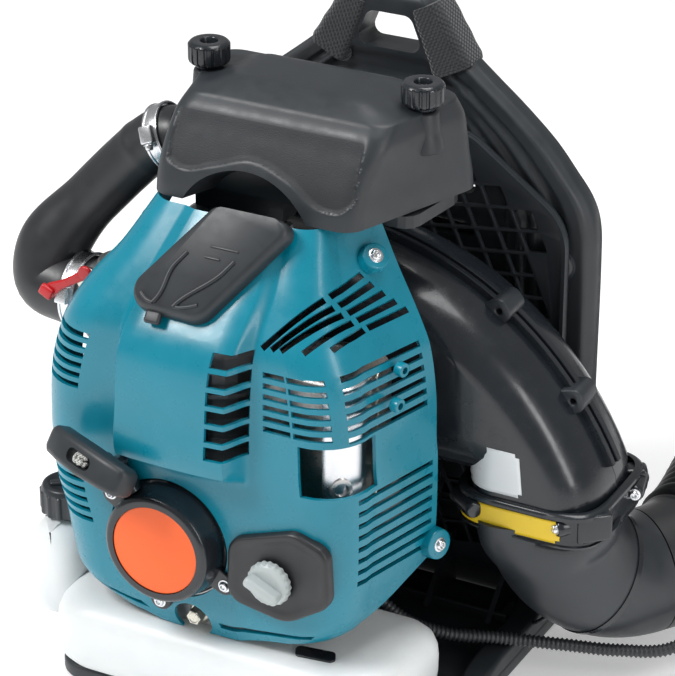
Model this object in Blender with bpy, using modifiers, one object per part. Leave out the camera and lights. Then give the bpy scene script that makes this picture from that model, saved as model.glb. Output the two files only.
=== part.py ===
"""Backpack leaf blower with a four-stroke engine, built sub-part by sub-part.

Sizes are in millimetres and turned into metres by at(). +X is the wearer's right, -Y the engine side,
+Y the wearer's side, +Z up. The origin is the centre of the base's flat underside.
"""

from math import atan2, cos, pi, radians, sin, tan

import bmesh
import bpy
from mathutils import Matrix, Vector

MM = 0.001
GAP = 0.3                                  # between touching pieces

# Driving dimensions
FRAME_HALF = 163.0                         # half width of the back frame
FRAME_TOP = 480.0
FRAME_FRONT = 104.0                        # y of the frame's engine side
FRAME_REAR = 130.0
BASE_TOP = 12.5
RAIL_TOP = 24.0
CRANK_X = -45.0
CRANK_Z = 143.0
BORE_Y = -65.0                             # cylinder axis
STROKE = 40.0
ROD_LENGTH = 100.0
DUCT_Y = 35.0                              # fan case's seam plane
DUCT_HALF = 53.0
DUCT_RADIUS = 50.0
PIPE_RADIUS = 46.5                         # of the elbow's lower end
WALL = 3.0
COVER_REAR = -40.0
NOZZLE_END_Y = 1185.0
NOZZLE_RADIUS = 37.0
AIR_TOP = 443.0
AIR_BOTTOM = 377.0
PLUG_COVER_LIFT = 4.0                      # of the plug cover's middle above the engine cover
PLUG_COVER_LEAN = 0.6                      # to the right, for each unit up its slope

ELBOW_START = Vector((168, DUCT_Y, 145))
ELBOW_BEND = 83.0
ELBOW_OUT = Vector((sin(radians(35)), cos(radians(35)), 0))
ELBOW_END = ELBOW_START + ELBOW_BEND * ELBOW_OUT - Vector((0, 0, ELBOW_BEND))
PIPE_START = Vector((236, 285, 82))
PIPE_END = Vector((236, NOZZLE_END_Y, NOZZLE_RADIUS + 0.1))
PIPE_DIR = (PIPE_END - PIPE_START).normalized()
PULL_DIR = Vector((-0.25, -0.85, 0.46)).normalized()
GRIP_DIR = Vector((0.94, -0.33, -0.09))
GRIP_DIR = (GRIP_DIR - GRIP_DIR.dot(PULL_DIR) * PULL_DIR).normalized()
PULL_HANDLE = Vector((-88, -176, 211))

SEEN_MATERIALS = {
    "black_plastic": ((0.022, 0.023, 0.025), 0.45, 0.0),
    "gloss_black": ((0.012, 0.012, 0.014), 0.22, 0.0),
    "teal_cover": ((0.0, 0.19, 0.235), 0.2, 0.0),
    "tank_white": ((0.82, 0.84, 0.84), 0.35, 0.0),
    "red_plastic": ((0.6, 0.02, 0.02), 0.35, 0.0),
    "steel": ((0.55, 0.56, 0.58), 0.3, 1.0),
    "alloy": ((0.5, 0.51, 0.52), 0.45, 1.0),
    "rubber": ((0.015, 0.015, 0.016), 0.6, 0.0),
    "foam": ((0.03, 0.03, 0.032), 0.95, 0.0),
    "webbing": ((0.02, 0.02, 0.022), 0.9, 0.0),
    "element": ((0.6, 0.55, 0.4), 0.9, 0.0),
}


# ---------------------------------------------------------------- helpers
def clear_scene():
    for obj in list(bpy.data.objects):
        bpy.data.objects.remove(obj, do_unlink=True)


def at(*xyz):
    """A point given in millimetres, in metres."""
    return Vector(xyz[0] if len(xyz) == 1 else xyz) * MM


def new_collection(name):
    collection = bpy.data.collections.new(name)
    bpy.context.scene.collection.children.link(collection)
    return collection


def make_materials():
    for name, (colour, roughness, metallic) in SEEN_MATERIALS.items():
        material = bpy.data.materials.new(name)
        material.use_nodes = True
        shader = material.node_tree.nodes["Principled BSDF"]
        shader.inputs["Base Color"].default_value = (*colour, 1)
        shader.inputs["Roughness"].default_value = roughness
        shader.inputs["Metallic"].default_value = metallic
        material.diffuse_color = (*colour, 1)


def node(name, data, material, matrix=None):
    """A sub-part of the blower, or a cutter when it has no material."""
    obj = bpy.data.objects.new(name, data)
    if matrix is not None:
        obj.matrix_world = matrix
    if material is None:
        CUTTERS.objects.link(obj)
        obj.hide_render = True
        obj.display_type = "WIRE"
        return obj
    PARTS.objects.link(obj)
    own = bpy.data.materials[material].copy()
    own.name = f"{name}_{material}"
    data.materials.append(own)
    return obj


def mesh_of(bm, name, smooth_angle=None):
    mesh = bpy.data.meshes.new(name)
    bm.to_mesh(mesh)
    bm.free()
    if smooth_angle:
        mesh.shade_smooth()
        mesh.set_sharp_from_angle(angle=radians(smooth_angle))
    return mesh


def frame_along(direction, origin=Vector((0, 0, 0)), up=Vector((0, 0, 1))):
    """A matrix whose Z axis is direction and whose X axis is level."""
    z = Vector(direction).normalized()
    if abs(z.dot(up)) > 0.99:
        up = Vector((0, 1, 0))
    x = up.cross(z).normalized()
    y = z.cross(x)
    turn = Matrix((x, y, z)).transposed().to_4x4()
    return Matrix.Translation(at(origin)) @ turn


def add_boxes(bm, boxes):
    """boxes: (centre, size, rotation matrix or None), in millimetres."""
    for centre, size, turn in boxes:
        scale = Matrix.Diagonal((*at(size), 1))
        place = Matrix.Translation(at(centre)) @ (turn.to_4x4() if turn else Matrix.Identity(4))
        bmesh.ops.create_cube(bm, size=1, matrix=place @ scale)


def box(name, low, high, material, bevel=0, segments=2, turn=None):
    centre = (Vector(low) + Vector(high)) / 2
    size = Vector(high) - Vector(low)
    bm = bmesh.new()
    add_boxes(bm, [((0, 0, 0), size, None)])
    matrix = Matrix.Translation(at(centre)) @ (turn.to_4x4() if turn else Matrix.Identity(4))
    obj = node(name, mesh_of(bm, name), material, matrix)
    if bevel:
        round_edges(obj, bevel, segments)
    return obj


def round_edges(obj, width, segments=2, angle=40):
    modifier = obj.modifiers.new("round", "BEVEL")
    modifier.width = width * MM
    modifier.segments = segments
    modifier.limit_method = "ANGLE"
    modifier.angle_limit = radians(angle)
    return modifier


def cylinder(name, start, end, radius, material, end_radius=None, sides=24, bevel=0):
    start, end = Vector(start), Vector(end)
    bm = bmesh.new()
    bmesh.ops.create_cone(
        bm, cap_ends=True, segments=sides, radius1=radius * MM,
        radius2=(radius if end_radius is None else end_radius) * MM, depth=(end - start).length * MM)
    matrix = frame_along(end - start, (start + end) / 2)
    obj = node(name, mesh_of(bm, name, 40), material, matrix)
    if bevel:
        round_edges(obj, bevel)
    return obj


def turned(name, profile, origin, axis, material, sides=24):
    """A turned solid. profile: (radius, height) down the outer side, then back up the inner one."""
    bm = bmesh.new()
    points = [bm.verts.new(at(radius, 0, height)) for radius, height in profile]
    for first, second in zip(points, points[1:]):
        bm.edges.new((first, second))
    if profile[0][0] > 0:
        bm.edges.new((points[-1], points[0]))
    obj = node(name, mesh_of(bm, name), material, frame_along(axis, origin))
    screw = obj.modifiers.new("turn", "SCREW")
    screw.axis = "Z"
    screw.steps = sides
    screw.render_steps = sides
    screw.use_merge_vertices = True
    screw.merge_threshold = 0.00001
    screw.use_smooth_shade = True
    return obj


def tube(name, points, radius, material, resolution=3, swell=None):
    """A round tube along points. swell scales its radius at each of them."""
    curve = bpy.data.curves.new(name, "CURVE")
    curve.dimensions = "3D"
    curve.bevel_depth = radius * MM
    curve.bevel_resolution = resolution
    curve.use_fill_caps = True
    spline = curve.splines.new("POLY")
    spline.points.add(len(points) - 1)
    for target, point, share in zip(spline.points, points, swell or [1] * len(points)):
        target.co = (*at(point), 1)
        target.radius = share
    spline.use_smooth = True
    return node(name, curve, material)


def rounded(corners, steps=4):
    """An outline whose corners (x, y, radius) are arcs."""
    outline = []
    count = len(corners)
    for i, (x, y, radius) in enumerate(corners):
        here = Vector((x, y))
        before = (Vector(corners[i - 1][:2]) - here).normalized()
        after = (Vector(corners[(i + 1) % count][:2]) - here).normalized()
        if radius == 0:
            outline.append(here)
            continue
        half = before.angle(after) / 2
        reach = radius / tan(half)
        first, last = here + before * reach, here + after * reach
        centre = here + (before + after).normalized() * (radius / sin(half))
        start = atan2(*(first - centre).yx)
        sweep = (atan2(*(last - centre).yx) - start + pi) % (2 * pi) - pi
        for k in range(steps + 1):
            angle = start + sweep * k / steps
            outline.append(centre + radius * Vector((cos(angle), sin(angle))))
    return outline


def plate(name, outlines, thickness, matrix, material, edge=0.0):
    """A flat outline, with holes, extruded to thickness about its own plane."""
    curve = bpy.data.curves.new(name, "CURVE")
    curve.dimensions = "2D"
    curve.fill_mode = "BOTH"
    curve.extrude = (thickness / 2 - edge) * MM
    if edge:
        curve.bevel_depth = edge * MM
        curve.bevel_resolution = 1
        curve.offset = -edge * MM
    for outline in outlines:
        spline = curve.splines.new("POLY")
        spline.points.add(len(outline) - 1)
        spline.use_cyclic_u = True
        for target, point in zip(spline.points, outline):
            target.co = (point[0] * MM, point[1] * MM, 0, 1)
    return node(name, curve, material, matrix)


def facing_front(y):
    """A plane across Y: its own X is +X, its own Y is +Z."""
    return Matrix.Translation(at(0, y, 0)) @ Matrix.Rotation(radians(90), 4, "X")


def as_mesh(obj):
    """The same piece as a mesh with its caps welded, so that it takes a Boolean."""
    bpy.context.view_layer.update()
    graph = bpy.context.evaluated_depsgraph_get()
    mesh = bpy.data.meshes.new_from_object(obj.evaluated_get(graph))
    bm = bmesh.new()
    bm.from_mesh(mesh)
    bmesh.ops.remove_doubles(bm, verts=bm.verts, dist=0.00001)
    bm.to_mesh(mesh)
    bm.free()
    name, matrix = obj.name, obj.matrix_world.copy()
    collections = list(obj.users_collection)
    was_cutter = obj.hide_render
    bpy.data.objects.remove(obj, do_unlink=True)
    result = bpy.data.objects.new(name, mesh)
    result.matrix_world = matrix
    result.hide_render = was_cutter
    result.display_type = "WIRE" if was_cutter else "TEXTURED"
    for collection in collections:
        collection.objects.link(result)
    return result


def combine(obj, other, operation="DIFFERENCE"):
    modifier = obj.modifiers.new(operation.lower(), "BOOLEAN")
    modifier.operation = operation
    modifier.object = other
    modifier.solver = "EXACT"
    return obj


def cut_boxes(obj, boxes, operation="DIFFERENCE"):
    """Cuts (or adds) boxes that don't touch one another."""
    bm = bmesh.new()
    add_boxes(bm, boxes)
    return combine(obj, node(f"{obj.name}_boxes", mesh_of(bm, "boxes"), None), operation)


def cut_box(obj, low, high, operation="DIFFERENCE"):
    centre = (Vector(low) + Vector(high)) / 2
    return cut_boxes(obj, [(centre, Vector(high) - Vector(low), None)], operation)


def cut_round(obj, start, end, radius, operation="DIFFERENCE", sides=24):
    return combine(obj, cylinder(f"{obj.name}_round", start, end, radius, None, sides=sides), operation)


def loft(name, rings, material, smooth_angle=40):
    """A solid through closed rings with equal numbers of points, capped at both ends."""
    bm = bmesh.new()
    rows = [[bm.verts.new(at(point)) for point in ring] for ring in rings]
    count = len(rows[0])
    for lower, upper in zip(rows, rows[1:]):
        for i in range(count):
            j = (i + 1) % count
            bm.faces.new((lower[i], lower[j], upper[j], upper[i]))
    bm.faces.new(list(reversed(rows[0])))
    bm.faces.new(rows[-1])
    bmesh.ops.recalc_face_normals(bm, faces=bm.faces)
    return node(name, mesh_of(bm, name, smooth_angle), material)


def between(keys, value):
    """Value read from (position, value...) keys by straight runs."""
    if value <= keys[0][0]:
        return keys[0][1:]
    for low, high in zip(keys, keys[1:]):
        if value <= high[0]:
            share = (value - low[0]) / (high[0] - low[0])
            return [a + (b - a) * share for a, b in zip(low[1:], high[1:])]
    return keys[-1][1:]


def bezier(p0, p1, p2, p3, steps):
    points = []
    for k in range(steps + 1):
        t = k / steps
        s = 1 - t
        points.append(s ** 3 * p0 + 3 * s * s * t * p1 + 3 * s * t * t * p2 + t ** 3 * p3)
    return points


def smooth_route(knots, per_span=6):
    """A Catmull-Rom curve through the route's own points."""
    knots = [Vector(k) for k in knots]
    padded = [2 * knots[0] - knots[1], *knots, 2 * knots[-1] - knots[-2]]
    points = [knots[0]]
    for a, b, c, d in zip(padded, padded[1:], padded[2:], padded[3:]):
        points += bezier(b, b + (c - a) / 6, c - (d - b) / 6, c, per_span)[1:]
    return points


# ---------------------------------------------------------------- frame, pads and straps
def frame_outline():
    half = [
        (140, 0, 10), (150, 14, 8), (150, 128, 20), (FRAME_HALF, 165, 25), (FRAME_HALF, 352, 34),
        (52, 441, 24), (31, FRAME_TOP, 12)]
    return rounded(half + [(-x, y, radius) for x, y, radius in reversed(half)], 3)


def build_frame():
    opening = rounded([(-28, 434, 5), (28, 434, 5), (17, 461, 6), (-17, 461, 6)], 3)
    middle = (FRAME_FRONT + FRAME_REAR) / 2
    plate("frame_back", [frame_outline(), opening], FRAME_REAR - FRAME_FRONT, facing_front(middle),
          "black_plastic", edge=5)
    base = rounded([(-150, -140, 25), (150, -140, 25), (150, FRAME_FRONT - GAP, 3),
                    (-150, FRAME_FRONT - GAP, 3)])
    base = as_mesh(plate("frame_base", [base], BASE_TOP, Matrix.Translation(at(0, 0, BASE_TOP / 2)),
                         "black_plastic"))
    for side in (-1, 1):
        inner, outer = sorted((side * 128, side * 149.5))
        cut_box(base, (inner, -20, BASE_TOP - 5), (outer, FRAME_FRONT - 0.5, RAIL_TOP), "UNION")


MOUNTS = {"left": (-132, 160), "top": (8, 262), "right": (92, 196)}


def build_mounts():
    for place, (x, z) in MOUNTS.items():
        cylinder(f"buffer_{place}", (x, DUCT_Y + DUCT_HALF + GAP, z), (x, FRAME_FRONT - GAP, z), 10,
                 "rubber", sides=16)


def band(name, route, width, thickness, material):
    """A flat strap that follows route, level across its width."""
    rings = []
    for i, point in enumerate(route):
        along = (route[min(i + 1, len(route) - 1)] - route[max(i - 1, 0)]).normalized()
        across = Vector((1, 0, 0))
        across = (across - across.dot(along) * along).normalized()
        out = along.cross(across)
        wide, thick = across * width / 2, out * thickness / 2
        rings.append([point - wide - thick, point + wide - thick, point + wide + thick, point - wide + thick])
    return loft(name, rings, material)


def build_harness():
    box("back_pad", (-100, FRAME_REAR + GAP, 50), (100, FRAME_REAR + 20, 335), "foam", 8)
    for side, word in ((-1, "left"), (1, "right")):
        padded_route = smooth_route([
            (side * 62, FRAME_REAR + 9, 354), (side * 64, FRAME_REAR + 28, 361),
            (side * 70, FRAME_REAR + 44, 330), (side * 78, FRAME_REAR + 50, 280),
            (side * 88, FRAME_REAR + 48, 225), (side * 98, FRAME_REAR + 38, 165)], 4)
        band(f"shoulder_strap_{word}", padded_route, 56, 12, "foam")
        web_route = smooth_route([
            (side * 99.4, FRAME_REAR + 36, 157), (side * 117, FRAME_REAR + 26, 105),
            (side * 125, FRAME_REAR + 13, 58), (side * 126, FRAME_REAR + 5, 30)], 4)
        band(f"strap_webbing_{word}", web_route, 25, 2.4, "webbing")


# ---------------------------------------------------------------- fan case, duct and fan
SPIRAL = [(0, 119), (100, 128), (190, 152), (280, 184), (304, 199), (330, 224), (349, 246), (363, 264)]
TONGUE = 10.0                              # degrees above +X where the scroll starts
TONGUE_TIP = Vector((CRANK_X + 119 * cos(radians(TONGUE)), CRANK_Z + 119 * sin(radians(TONGUE))))


def scroll_outline(offset, leg_bottom, steps=29):
    """The scroll and its down-turned outlet seen from the front, moved inwards by offset."""
    outline = []
    for k in range(steps + 1):
        angle = SPIRAL[-1][0] * k / steps
        radius = between(SPIRAL, angle)[0] - offset
        turn = radians(TONGUE - angle)
        outline.append(Vector((CRANK_X + radius * cos(turn), CRANK_Z + radius * sin(turn))))
    outer = ELBOW_START.x + DUCT_HALF - offset
    inner = ELBOW_START.x - DUCT_HALF + offset
    outline += [Vector((outer, leg_bottom)), Vector((inner, leg_bottom)),
                Vector((inner, TONGUE_TIP.y + 6 + offset)), TONGUE_TIP + Vector((-1, 1.3)) * (offset + 1)]
    return outline


def scroll_solid(name, side, offset, seam, leg_bottom, material):
    """One half of the scroll's solid form, from the seam plane to its rounded side wall."""
    depth = DUCT_HALF - offset
    rings = []
    for share in (0.0, 0.5, 0.8, 0.95, 1.0):
        y = DUCT_Y + side * share * depth
        inset = offset + 30 * (1 - (1 - share ** 2.6) ** 0.5)
        rings.append([Vector((x, y, z)) for x, z in scroll_outline(inset, leg_bottom)])
    rings[0] = [Vector((p.x, DUCT_Y + seam, p.z)) for p in rings[0]]
    return loft(name, rings, material)


def build_fan_case():
    for side, word in ((-1, "front"), (1, "rear")):
        half = scroll_solid(f"fan_case_{word}", side, 0, side * GAP / 2, 90, "gloss_black")
        hollow = scroll_solid(f"fan_case_{word}_hollow", side, WALL, -side * 5, 60, None)
        combine(half, hollow)
        cut_box(half, (100, -40, 40), (260, 120, ELBOW_START.z + 1))
        outer_wall = DUCT_Y + side * DUCT_HALF
        reach = 75 if side > 0 else 30
        cut_round(half, (CRANK_X, outer_wall - 12, CRANK_Z), (CRANK_X, outer_wall + 12, CRANK_Z), reach)


def build_fan():
    profile = [(100, 3), (100, 0), (18, 0), (18, -7), (7.4, -7), (7.4, 40), (16, 40), (20, 6), (24, 3)]
    fan = turned("fan", profile, (CRANK_X, DUCT_Y - 38, CRANK_Z), (0, 1, 0), "black_plastic", 28)
    blades = []
    for k in range(11):
        angle = 2 * pi * k / 11
        turn = Matrix.Rotation(-angle, 3, "Y") @ Matrix.Rotation(radians(28), 3, "Y")
        out = Vector((cos(angle), 0, sin(angle))) * 74
        blades.append((Vector((CRANK_X, DUCT_Y - 9, CRANK_Z)) + out, (46, 56, 2.6), turn))
    cut_boxes(fan, blades, "UNION")


def build_screen():
    outline = rounded([(-130, 34, 20), (130, 34, 20), (142, 130, 20), (156, 180, 30), (156, 330, 40), (70, 390, 30),
                       (-70, 390, 30), (-156, 330, 40), (-156, 180, 30), (-142, 130, 20)], 3)
    holes = [[Vector((x + 12 * cos(a * pi / 5), z + 12 * sin(a * pi / 5))) for a in range(10)]
             for x, z in MOUNTS.values()]
    plate("intake_screen", [outline, *holes], 3, facing_front(FRAME_FRONT - 5), "black_plastic")


def build_elbow():
    route = []
    for k in range(10):
        angle = radians(90) * k / 9
        route.append(ELBOW_START + ELBOW_BEND * (1 - cos(angle)) * ELBOW_OUT
                     - Vector((0, 0, ELBOW_BEND * sin(angle))))
    route.insert(1, route[0] - Vector((0, 0, 1)))
    route.insert(-1, route[-1] - ELBOW_OUT)
    swell = [1 - (1 - PIPE_RADIUS / DUCT_RADIUS) * k / (len(route) - 1) for k in range(len(route))]
    elbow = as_mesh(tube("elbow", route, DUCT_RADIUS, "gloss_black", 5, swell))
    inside = [route[0] + Vector((0, 0, 6)), *route[1:-1], route[-1] + ELBOW_OUT * 6]
    combine(elbow, as_mesh(tube("elbow_hollow", inside, DUCT_RADIUS - WALL, None, 5, swell)))
    inner, outer = DUCT_HALF + 0.6, DUCT_HALF + 5.5
    ring = [rounded([(-r, -r, r * 0.4), (r, -r, r * 0.4), (r, r, r * 0.4), (-r, r, r * 0.4)], 5)
            for r in (outer, inner)]
    place = Matrix.Translation(at(ELBOW_START.x, DUCT_Y, ELBOW_START.z + 8))
    plate("duct_clamp", ring, 12, place, "gloss_black")


# ---------------------------------------------------------------- engine
def build_bottom_end():
    case = box("crankcase", (-92, -108, 96), (2, -22, 196), "alloy", 5)
    cut_box(case, (-75, -121, 65), (-5, -45, 100), "UNION")
    cut_box(case, (-87, -103, 101), (-3, -27, 191))
    cut_round(case, (CRANK_X, BORE_Y, 180), (CRANK_X, BORE_Y, 200), 24)
    cut_round(case, (CRANK_X, -112, CRANK_Z), (CRANK_X, -18, CRANK_Z), 7.6)
    front = [(32, 10), (32, 0), (7, 0), (7, -54), (0, -54)]
    turned("crankshaft_front", [(0, 10), *front], (CRANK_X, BORE_Y - 17, CRANK_Z), (0, 1, 0), "steel", 28)
    rear = [(7, 92), (7, 10), (32, 10), (32, 0), (0, 0)]
    turned("crankshaft_rear", [(0, 92), *rear], (CRANK_X, BORE_Y + 7, CRANK_Z), (0, 1, 0), "steel", 28)
    wheel = [(12, 16), (40, 14), (42, 11), (42, 0), (7.4, 0), (7.4, 16)]
    turned("flywheel", wheel, (CRANK_X, -128, CRANK_Z), (0, 1, 0), "alloy", 32)
    coil = box("ignition_coil", (-60, -127, 187), (-30, -112, 222), "black_plastic", 2)
    cut_box(coil, (-52, -130, 184), (-38, -109, 193))
    bolt = [(0, 12), (6, 12), (6, 4), (9, 3), (9, 0), (0, 0)]
    turned("drain_bolt", bolt, (-31, -121 - GAP, 78), (0, -1, 0), "steel", 6)


def build_top_end():
    pin_z = CRANK_Z - STROKE / 2
    wrist_z = pin_z + ROD_LENGTH
    rod = [Vector((CRANK_X + 13 * cos(radians(a)), pin_z + 13 * sin(radians(a)))) for a in range(125, 416, 29)]
    rod += [Vector((CRANK_X + 9 * cos(radians(a)), wrist_z + 9 * sin(radians(a)))) for a in range(-50, 231, 35)]
    eye = [Vector((CRANK_X + 5.5 * cos(a * pi / 6), wrist_z + 5.5 * sin(a * pi / 6))) for a in range(12)]
    arm = as_mesh(plate("connecting_rod", [rod, eye], 11, facing_front(BORE_Y), "steel"))
    cut_round(arm, (CRANK_X, BORE_Y - 6.6, pin_z), (CRANK_X, BORE_Y + 6.6, pin_z), 7, "UNION", 16)
    crown = wrist_z + 18
    profile = [(0, crown), (21.6, crown), (21.6, crown - 36), (18.4, crown - 36), (18.4, crown - 7), (0, crown - 7)]
    piston = turned("piston", profile, (CRANK_X, BORE_Y, 0), (0, 0, 1), "alloy", 28)
    cut_round(piston, (CRANK_X, BORE_Y - 20, wrist_z), (CRANK_X, BORE_Y + 20, wrist_z), 5, "UNION", 12)
    foot, head = 196 + GAP, 300
    fins = [(34, foot), (22, foot), (22, head - 10), (0, head - 10)]
    outer = [(0, head), (42, head), (42, head - 4), (29, head - 6)]
    for k in range(4):
        z = head - 22 - k * 19
        outer += [(29, z + 4), (43, z + 3), (43, z), (29, z - 1)]
    barrel = turned("cylinder", outer + [(29, foot + 8), (34, foot + 8)] + fins, (CRANK_X, BORE_Y, 0),
                    (0, 0, 1), "alloy", 20)
    plug_axis = Vector((-0.25, -0.32, 0.9)).normalized()
    plug_foot = Vector((CRANK_X, BORE_Y, 285)) + Vector((-6, -17, 6))
    cut_round(barrel, plug_foot - plug_axis * 12, plug_foot + plug_axis * 40, 6.6, sides=12)
    cut_round(barrel, plug_foot + plug_axis * 10.5, plug_foot + plug_axis * 40, 10, sides=12)
    rocker = box("rocker_cover", (-86, -62, 300 + GAP), (-4, -26, 350), "alloy", 5)
    cut_box(rocker, (-81, -57, 296), (-9, -31, 344))
    plug = [(0, 44), (4, 44), (4, 30), (8.5, 28), (8.5, 12), (6, 11), (6, -6), (0, -6)]
    turned("spark_plug", plug, plug_foot, plug_axis, "steel", 12)
    cap = [(0, 60), (9, 58), (11, 50), (11, 30.5), (9, 30.5), (9, 46), (0, 46)]
    turned("spark_plug_cap", cap, plug_foot, plug_axis, "rubber", 14)
    muffler = box("muffler", (8, -116, 180), (84, -46, 280), "steel", 10, 2)
    cut_round(muffler, (70, -95, 200), (92, -95, 200), 7)


def build_fuel_system():
    body = box("carburettor", (-164, -62, 240), (-112, -24, 292), "alloy", 3)
    cut_round(body, (-170, -43, 266), (-106, -43, 266), 12)
    box("intake_manifold", (-112 + GAP, -60, 246), (-90, -50, 286), "black_plastic", 1, 1)
    lever = rounded([(-187, 275, 2), (-179, 271, 2), (-168, 282, 4), (-142, 297, 4), (-145, 304, 3),
                     (-168, 289, 4), (-180, 284, 3)], 3)
    plate("choke_lever", [lever], 3, facing_front(-76), "red_plastic")
    hose = smooth_route([(-100.5, -14, 391), (-124, -16, 383), (-169, -22, 337), (-200, -33, 297),
                         (-202, -41, 271), (-184, -43, 266), (-166, -43, 266)], 3)
    widths = [between([(0, 21.5), (8, 21.5), (12, 26.5), (18, 26.5)], k)[0] for k in range(len(hose))]
    tube("intake_hose", hose, 1, "rubber", 4, swell=widths)
    for word, spot, place in (("lower", 17, (-170.2, -43, 266)), ("upper", 2, hose[2])):
        inner = widths[spot] + 2
        ring = [(inner + 2, 5), (inner + 2, -5), (inner, -5), (inner, 5)]
        turned(f"hose_clamp_{word}", ring, place, hose[spot + 1] - hose[spot - 1], "steel", 28)
    tank = box("fuel_tank", (-152, -146, BASE_TOP + GAP), (120, -32, 64), "tank_white", 16, 3)
    riser = box("fuel_tank_riser", (-190, -112, 28), (-146, -50, 104), None, 14, 3)
    combine(tank, riser, "UNION")
    cut_round(tank, (-168, -82, 95), (-168, -82, 115), 13)
    cut_box(tank, (-184, -104, 50), (-154, -60, 97))
    cut_box(tank, (-182, -100, 36), (-132, -62, 54))
    combine(tank, box("fuel_tank_hollow", (-148, -142, BASE_TOP + 4), (116, -36, 60), None, 13, 3))
    cap = [(0, 24), (17.5, 24), (20, 20), (20, 2), (18, 0), (0, 0)]
    turned("fuel_cap", cap, (-168, -82, 104 + GAP), (0, 0, 1), "black_plastic", 24)


# ---------------------------------------------------------------- covers
COVER_KEYS = [
    # z, left x, right x at the front and at the rear, front y, nose depth, nose left, nose right, corner radius
    (66, -100, 55, 70, -130, 0, -56, 10, 36), (90, -136, 86, 102, -138, 0, -84, 10, 36),
    (115, -144, 94, 110, -140, 0, -84, 12, 36), (140, -148, 97, 113, -141, 0, -84, 14, 36),
    (165, -154, 98, 114, -142, 0, -84, 20, 36), (204, -157, 98, 114, -142, 0, -84, 20, 36),
    (216, -157, 97, 113, -142, 14, -84, 20, 36), (250, -155, 95, 112, -141, 15, -83, 20, 36),
    (285, -146, 89, 107, -139, 15, -82, 21, 36), (303, -137, 82, 100, -136, 14, -80, 22, 36),
    (320, -126, 73, 92, -127, 9, -76, 24, 34), (340, -109, 62, 82, -115, 6, -70, 28, 28),
    (376, -88, 48, 66, -90, 3, -56, 24, 20)]


def cover_section(z):
    """The engine cover's outside at height z, from its rear left edge round the front to its rear right."""
    left, right_front, right_rear, front, nose, nose_left, nose_right, corner = between(COVER_KEYS, z)
    points = [(left, COVER_REAR), (left + 1, -58)]
    corner_y = front + corner
    for k in range(5):
        angle = radians(180 + 22.5 * k)
        points.append((left + 2 + corner + corner * cos(angle), corner_y + corner * sin(angle)))
    points += [(nose_left, front), (nose_left + 9, front - nose), (nose_right - 9, front - nose),
               (nose_right, front)]
    for k in range(5):
        angle = radians(270 + 22.5 * k)
        points.append((right_front - corner + corner * cos(angle), corner_y + corner * sin(angle)))
    points += [(right_front * 0.25 + right_rear * 0.75, -58), (right_rear, COVER_REAR)]
    return [Vector((x, y, z)) for x, y in points]


def slots(centre, along, down, count, pitch, length, height, depth):
    """A ladder of slots: each runs along, and the next lies below it."""
    along = Vector(along).normalized()
    down = Vector(down)
    down = (down - down.dot(along) * along).normalized()
    turn = Matrix((along, down.cross(along), down)).transposed()
    middle = (count - 1) / 2
    return [(Vector(centre) + down * pitch * (k - middle), (length, depth, height), turn)
            for k in range(count)]


def cover_openings():
    down = (0, 0, -1)
    side = Vector((16, 60, 0))
    return [
        slots((106, -84, 279), side, down, 6, 8.6, 44, 4, 20),
        slots((108, -84, 158), side, down, 9, 9.2, 44, 4.2, 20),
        slots((54, -142, 262), (1, 0.02, 0), down, 6, 8.6, 50, 4, 20),
        slots((90, -124, 228), (0.8, 0.75, 0), down, 1, 1, 34, 38, 26),
        slots((3, -147, 258), (1, 0.1, 0), down, 6, 13.5, 15, 8, 18),
        slots((-120, -142, 255), (1, 0.02, 0), down, 5, 9, 34, 4, 20),
    ]


def build_engine_cover():
    levels = [key[0] for key in COVER_KEYS]
    bm = bmesh.new()
    rows = [[bm.verts.new(at(point)) for point in cover_section(z)] for z in levels]
    for lower, upper in zip(rows, rows[1:]):
        for i in range(len(lower) - 1):
            bm.faces.new((lower[i], lower[i + 1], upper[i + 1], upper[i]))
    cover = node("engine_cover", mesh_of(bm, "engine_cover", 35), "teal_cover")
    skin = cover.modifiers.new("skin", "SOLIDIFY")
    skin.thickness = WALL * MM
    skin.offset = -1
    skin.use_even_offset = True
    for group in cover_openings():
        cut_boxes(cover, group)
    cut_round(cover, (CRANK_X, -170, CRANK_Z), (CRANK_X, -110, CRANK_Z), 47, sides=32)
    cut_box(cover, (-200, -78, 228), (-100, -30, 320))
    cut_box(cover, (-44, -150, 50), (-18, -110, 88))
    combine(cover, as_mesh(plate("plug_opening", [tongue_outline(1)], 60, plug_cover_frame(), None)))


def tongue_outline(grow):
    """The plug cover's outline in its own frame, grown all round. It leans to the right going up."""
    low, high = -40 - grow, 40 + grow
    corners = [(-31 - grow, low, 20), (31 + grow, low, 20), (33 + grow, high, 8), (-33 - grow, high, 8)]
    return rounded([(x + PLUG_COVER_LEAN * y, y, radius) for x, y, radius in corners], 5)


def plug_cover_frame():
    """The plug cover's own frame: X across, Y up the slope, Z out of it."""
    lower, upper = Vector((0, -144, 319)), Vector((0, -95, 379))
    across = Vector((1, 0, 0))
    up = (upper - lower).normalized()
    out = across.cross(up)
    middle = Vector((-19, 0, 0)) + (lower + upper) / 2 + out * PLUG_COVER_LIFT
    return Matrix.Translation(at(middle)) @ Matrix((across, up, out)).transposed().to_4x4()


def build_small_covers():
    plate("plug_cover", [tongue_outline(0)], 12, plug_cover_frame(), "black_plastic", edge=3)
    bezel = rounded([(4, 112, 14), (52, 104, 24), (86, 126, 16), (84, 168, 12), (58, 178, 16), (6, 160, 16)], 4)
    plate("oil_filler_surround", [bezel], 6, facing_front(-145.4), "rubber")
    cap = [(0, 9), (16, 9), (18, 6), (18, 0), (0, 0)]
    oil = turned("oil_cap", cap, (41, -148.4 - GAP, 136), (0, -1, 0), "alloy", 28)
    grip = Matrix.Rotation(radians(25), 3, "Y")
    cut_boxes(oil, [((41, -162, 136), (31, 12, 9), grip)], "UNION")


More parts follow.
